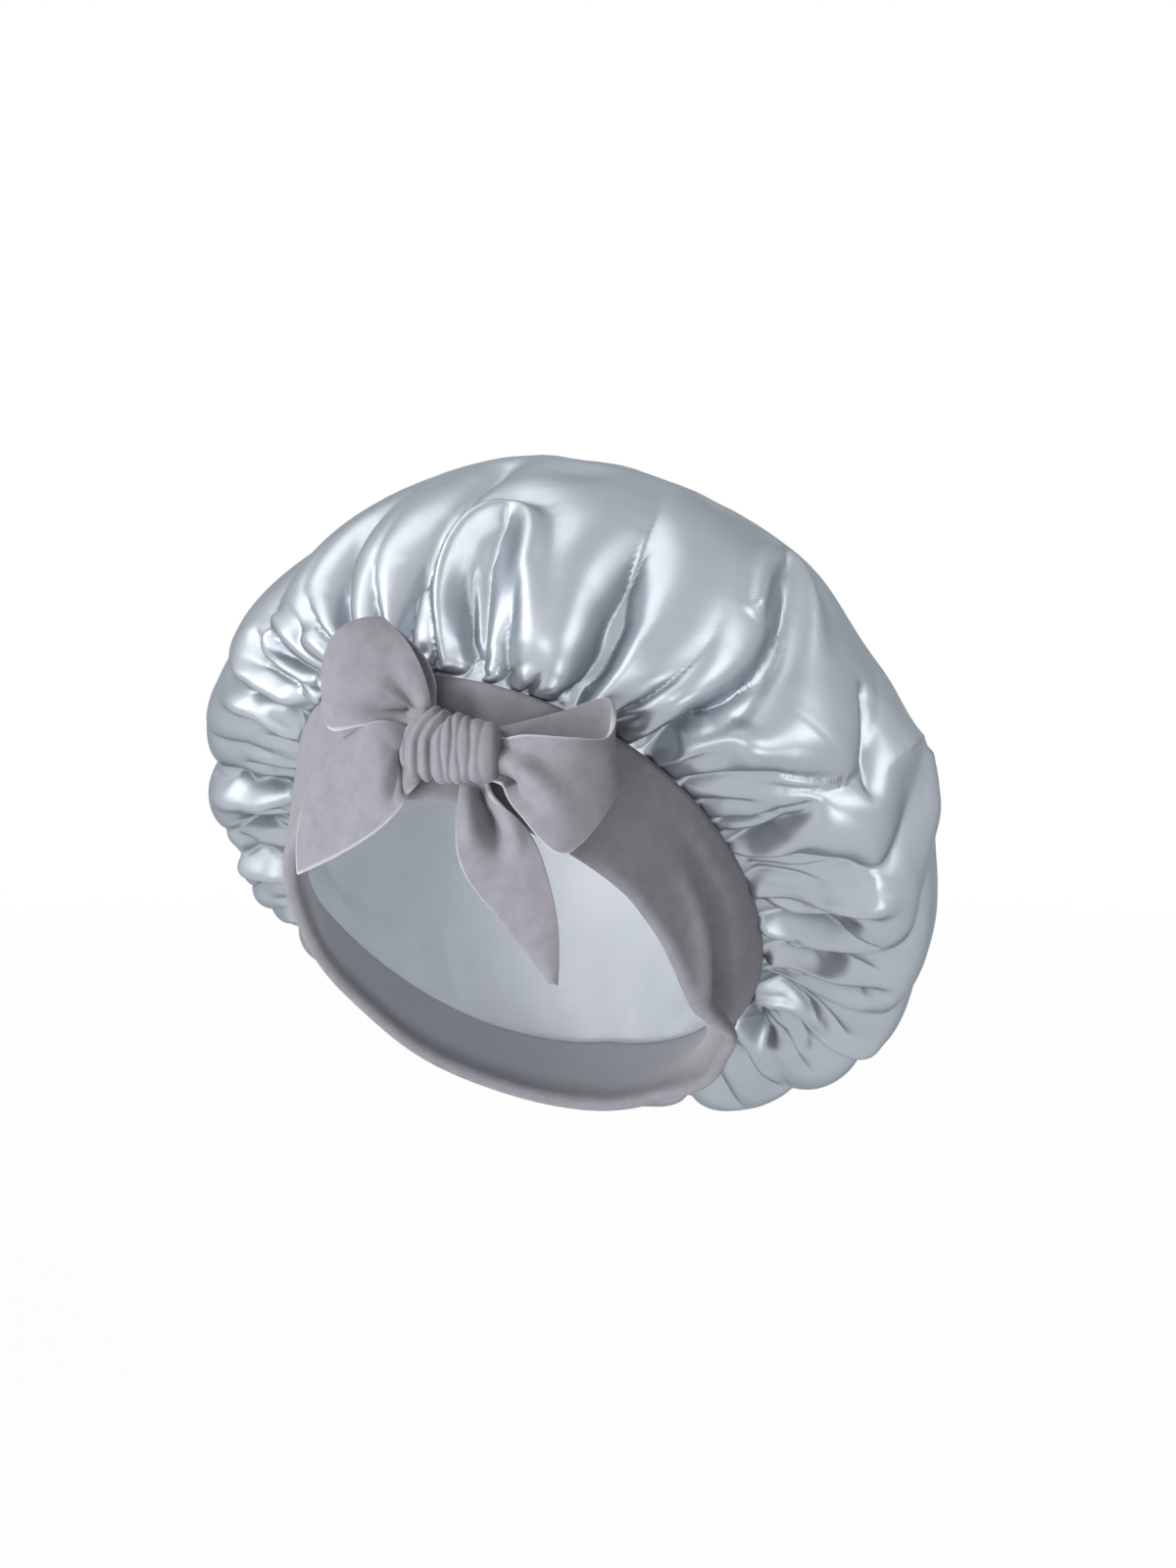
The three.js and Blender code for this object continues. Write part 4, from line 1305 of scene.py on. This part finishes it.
@dataclass
class Bow:
    """The tie at the forehead: a knot, two loops and two tails."""

    form: BandForm
    turn: float = 8.0
    tilt: float = 11.0
    up: float = 19.5 * MM
    knot_length: float = 37 * MM
    knot_middle: float = 9.9 * MM
    knot_depth: float = 15 * MM
    knot_radius: float = 12 * MM
    knot_cells: tuple[int, int] = (96, 120)
    knot_fill: float = 0.9
    anchor_length: float = 30 * MM
    anchor_width: float = 18 * MM
    anchor_off: float = 4.1 * MM
    anchor_thickness: float = 1.4 * MM

    def world(self, points: Array) -> Array:
        """Takes places from the bow's frame to the bonnet's place in the world."""
        angle = np.array([math.radians(self.turn - 90)])
        face = self.form.thickness / 2
        nudge = 0.01
        ahead = self.form.point(angle + nudge, self.up, face)
        along = unit(ahead - self.form.point(angle - nudge, self.up, face))[0]
        across = unit(self.form.point(angle, self.form.width, face) - self.form.point(angle, 0.0, face))[0]
        off = unit(np.cross(along, across))
        across = np.cross(off, along)
        tilt = math.radians(self.tilt)
        x_axis = along * math.cos(tilt) + across * math.sin(tilt)
        y_axis = across * math.cos(tilt) - along * math.sin(tilt)
        origin = self.form.point(angle, self.up, face)[0]
        return self.form.world(origin + points @ np.stack([x_axis, y_axis, off]))

    def knot_place(self, start: Array) -> Array:
        """Puts a sleeve's vertices on the pleated knot."""
        share = start[:, 2]
        turn = np.arctan2(start[:, 1], start[:, 0])
        x = (share - 0.5) * self.knot_length / MM
        high = np.interp(x, *zip(*KNOT_HIGH))
        low = np.interp(x, *zip(*KNOT_LOW))
        # The wrap closes in at both ends, more abruptly at the wearer's left.
        close = (1 - np.abs(2 * share - 1) ** np.where(share > 0.5, 18, 9)) ** 0.5
        y = (high + low) / 2 + (high - low) / 2 * close * np.cos(turn)
        swell = mix(0.8, 1, 1 - np.abs(2 * share - 1) ** 3)
        reach = self.knot_depth / MM / 2 * swell * close
        z = self.knot_middle / MM + reach * np.sign(np.sin(turn)) * np.abs(np.sin(turn)) ** 0.75
        arc = x - 9 * np.clip(y / 15, 0, 1.2) ** 1.5
        dent = np.zeros_like(x)
        for middle, depth, width in BOLD_PLEATS:
            dent += depth * np.exp(-np.abs((arc - middle) / width) ** 1.3)
        for middle, depth, width in FINE_PLEATS:
            wander = 0.5 * np.sin(y / 4 + middle)
            dent += depth * np.exp(-(((x - middle - wander) / width) ** 2))
        dent *= np.clip(close, 0, 1)
        rise = (y - (high + low) / 2) / 14
        outward = np.stack([np.zeros_like(x), rise, (z - self.knot_middle / MM) / 7.5], -1)
        return np.stack([x, y, z], -1) * MM - unit(outward) * dent[:, None] * MM

    def knot_flat(self, start: Array) -> Array:
        """Gives each vertex's place on the flat strip that the knot is wrapped from."""
        turn = np.arctan2(start[:, 1], start[:, 0])
        return np.stack([start[:, 2] * self.knot_length, turn * self.knot_radius], -1)

    def knot(self) -> Object:
        """Makes the knot: the tie wrapped round itself, with bold pleats on one side and fine ones beside."""
        knot = as_object(
            "tie_knot_wrap",
            round_sleeve(*self.knot_cells),
            lambda start: self.world(self.knot_place(start)),
            self.knot_flat,
        )
        face_out(knot, merge=1e-7)
        return knot

    def anchor_place(self, start: Array) -> Array:
        """Puts a sheet's vertices on the strip that is sewn to the band behind the knot."""
        reach = self.anchor_length / 2 / (self.form.opening_width / 2 + 10 * MM)
        angle = math.radians(self.turn - 90) + reach * (2 * start[:, 0] - 1)
        up = self.up + self.anchor_width * (start[:, 1] - 0.5)
        return self.form.world(self.form.point(angle, up, self.anchor_off))

    def build(self, knit: Material) -> None:
        """Makes and dresses the knot, loops, tails and the strip behind the knot."""
        knot = dress(self.knot(), knit, Slot.KNIT, Body.BONNET, "tie_knot")
        anchor = as_object(
            "tie_anchor_strip",
            flat_sheet(24, 12),
            self.anchor_place,
            lambda start: start[:, :2] * np.array([self.anchor_length, self.anchor_width]),
        )
        thicken(anchor, self.anchor_thickness, rounds=1)
        dress(anchor, knit, Slot.KNIT, Body.BONNET, "tie_anchor")
        for strap in STRAPS:
            self.build_strap(strap, knit)

    def build_strap(self, strap: Strap, knit: Material) -> None:
        """Makes and dresses a loop or tail."""
        # The strap's edges get a painted highlight through the edge attribute
        piece = as_object(
            strap.name,
            flat_sheet(strap.along, strap.across),
            lambda start: self.world(strap.place(start)),
            strap.flat,
            strap.edge,
        )
        thicken(piece, strap.thickness, rounds=1)
        make_final(piece)
        dress(piece, knit, Slot.KNIT, None, strap.node)
        start, end = self.world(strap.bend()).tolist()
        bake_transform(piece)


def aim(thing: Object, at: Point, target: Point) -> None:
    """Puts a lamp or camera at a place, looking at a target, and links it to the scene."""
    thing.location = at
    thing.rotation_euler = (Vector(target) - Vector(at)).to_track_quat("-Z", "Y").to_euler()
    bpy.context.scene.collection.objects.link(thing)


class Shine(Enum):
    """What a lamp lights: only matte surfaces, or only the highlights of gloss."""

    MATTE = "matte"
    GLOSS = "gloss"


@dataclass(frozen=True)
class Lamp:
    """A square lamp that looks at the bonnet, with its power in watts."""

    name: str
    at: Point
    size: float
    power: float
    shine: Shine
    looks_at: Point = (0, 0.05, 0.05)

    def build(self) -> None:
        """Adds the lamp to the scene."""
        data = bpy.data.lights.new(self.name, "AREA")
        data.shape = "SQUARE"
        data.size = self.size
        data.energy = self.power
        lamp = bpy.data.objects.new(self.name, data)
        aim(lamp, self.at, self.looks_at)
        lamp.visible_glossy = self.shine is Shine.GLOSS
        lamp.visible_diffuse = self.shine is Shine.MATTE


LAMPS = (
    Lamp("key", (-0.85, -0.75, 0.95), 0.3, 12.5, Shine.MATTE),
    Lamp("fill", (0.05, -1.4, 0.25), 0.6, 3.5, Shine.MATTE),
    Lamp("sill", (-0.2, -1.2, -0.3), 0.5, 11, Shine.MATTE),
    Lamp("back", (0.3, 1.4, 0.8), 0.6, 9, Shine.MATTE),
    Lamp("window", (-0.95, -0.5, 1.05), 1.0, 8.0, Shine.GLOSS),
    Lamp("softbox", (0.25, -1.2, 1.1), 0.6, 2.8, Shine.GLOSS),
    Lamp("top", (-0.5, 0.3, 1.4), 0.9, 4, Shine.GLOSS),
    Lamp("side", (1.2, 0.2, 0.8), 0.8, 4.4, Shine.GLOSS),
    Lamp("low", (1.2, -0.5, -0.1), 0.5, 2.4, Shine.GLOSS),
)


@dataclass
class Studio:
    """Pale floor, soft lamps and the camera."""

    eye: Point = (0.605, -1.315, 0.393)
    target: Point = (0.0246, 0.0303, 0.0637)
    lens: float = 91.1
    floor_drop: float = 0.5
    floor_reach: float = 6.0
    floor_colour: str = "#F4F4F4"
    floor_roughness: float = 0.9
    # Distances from the bonnet over which the floor's glow rises, and its share at each
    glow_from: Span = (0.6, 2.2)
    glow_share: Span = (0.9, 1.0)
    room_strength: float = 0.35

    def build(self) -> None:
        """Makes the floor, room, lamps and camera."""
        bpy.context.scene.view_settings.view_transform = "Standard"
        self.build_floor()
        self.build_room()
        for lamp in LAMPS:
            lamp.build()
        data = bpy.data.cameras.new("camera")
        data.lens = self.lens
        camera = bpy.data.objects.new("camera", data)
        aim(camera, self.eye, self.target)
        bpy.context.scene.camera = camera

    def build_floor(self) -> None:
        """Makes a floor that is white to the eye, but less so near the bonnet, where its shadow stays."""
        shape = bmesh.new()
        bmesh.ops.create_grid(shape, x_segments=2, y_segments=2, size=self.floor_reach)
        bmesh.ops.translate(shape, vec=(0, 0, -self.floor_drop), verts=shape.verts)
        mesh = bpy.data.meshes.new("floor")
        shape.to_mesh(mesh)
        shape.free()
        floor = bpy.data.objects.new("floor", mesh)
        bpy.context.scene.collection.objects.link(floor)
        white, tree, matte = plain_material("pale_floor")
        matte.inputs["Base Color"].default_value = linear(self.floor_colour)
        matte.inputs["Roughness"].default_value = self.floor_roughness
        glow = add_node(tree, "ShaderNodeEmission", {"Color": (1, 1, 1, 1), "Strength": 1.0})
        place = add_node(tree, "ShaderNodeTexCoord")
        reach = add_node(tree, "ShaderNodeVectorMath", {"operation": "LENGTH"}, {0: place.outputs["Object"]})
        near, far = self.glow_from
        low, high = self.glow_share
        share = add_node(
            tree,
            "ShaderNodeMapRange",
            {"From Min": near, "From Max": far, "To Min": low, "To Max": high},
            {"Value": reach.outputs["Value"]},
        )
        shown = {0: self.seen(tree), 1: share.outputs["Result"]}
        seen = add_node(tree, "ShaderNodeMath", {"operation": "MULTIPLY"}, shown)
        both = add_node(
            tree, "ShaderNodeMixShader", {}, {0: seen.outputs[0], 1: matte.outputs[0], 2: glow.outputs[0]}
        )
        tree.links.new(both.outputs[0], tree.nodes["Material Output"].inputs["Surface"])
        mesh.materials.append(white)

    def build_room(self) -> None:
        """Makes surroundings that are white to the eye and to gloss, and dimmer as a light."""
        world = bpy.data.worlds.new("studio")
        bpy.context.scene.world = world
        world.use_nodes = True
        sky = world.node_tree
        room = sky.nodes["Background"]
        room.inputs["Color"].default_value = (1, 1, 1, 1)
        room.inputs["Strength"].default_value = self.room_strength
        backdrop = add_node(sky, "ShaderNodeBackground", {"Color": (1, 1, 1, 1), "Strength": 1.0})
        either = add_node(
            sky, "ShaderNodeMixShader", {}, {0: self.seen(sky), 1: room.outputs[0], 2: backdrop.outputs[0]}
        )
        sky.links.new(either.outputs[0], sky.nodes["World Output"].inputs["Surface"])

    def seen(self, tree: NodeTree) -> NodeSocket:
        """Gives a socket that is 1 for what the camera, gloss or glass shows, and 0 for light."""
        path = add_node(tree, "ShaderNodeLightPath")
        seen = path.outputs["Is Camera Ray"]
        for ray in ("Is Glossy Ray", "Is Transmission Ray"):
            pair = {0: seen, 1: path.outputs[ray]}
            seen = add_node(tree, "ShaderNodeMath", {"operation": "MAXIMUM"}, pair).outputs[0]
        return seen


def main() -> None:
    """Builds the bonnet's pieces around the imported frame."""
    logging.basicConfig(level=logging.INFO)
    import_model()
    Studio().build()
    satin = CROWN_SATIN.material()
    lining_satin = LINING_SATIN.material()
    knit = BAND_KNIT.material()
    form = BandForm()
    lining = SatinBag(
        "satin_lining_cloth",
        BagForm(
            form,
            width=261 * MM,
            length=233 * MM,
            dome=102.5 * MM,
            lift=26 * MM,
            sag=4 * MM,
            exit=47.8 * MM,
            off=-0.7 * MM,
        ),
        (GatherSet(36, depth=1.5 * MM, full=0.3, end=1.2, seed=4),),
        LINING_FOLDS,
        cells=100,
        cut_across=LINING_CUT,
    ).build()
    dress(lining, lining_satin, Slot.LINING, Body.BONNET, "satin_lining")
    crown = SatinBag(
        "satin_crown_cloth",
        BagForm(form),
        (GatherSet(58, depth=2.6 * MM, full=0.06, end=0.4, seed=3, seam_share=0.55),),
        CROWN_FOLDS,
        (MAIN_FOLDS, SMALL_FOLDS),
        Slack(1.0 * MM, 90 * MM, seed=2),
        cells=290,
        ply=0.0,
        run=ClothRun(),
        inner=lining,
    ).build()
    dress(crown, satin, Slot.SATIN, Body.BONNET, "satin_crown")
    Band(form).build(knit, ELASTIC_WEAVE.material())
    Bow(form).build(knit)


if __name__ == "__main__":
    main()
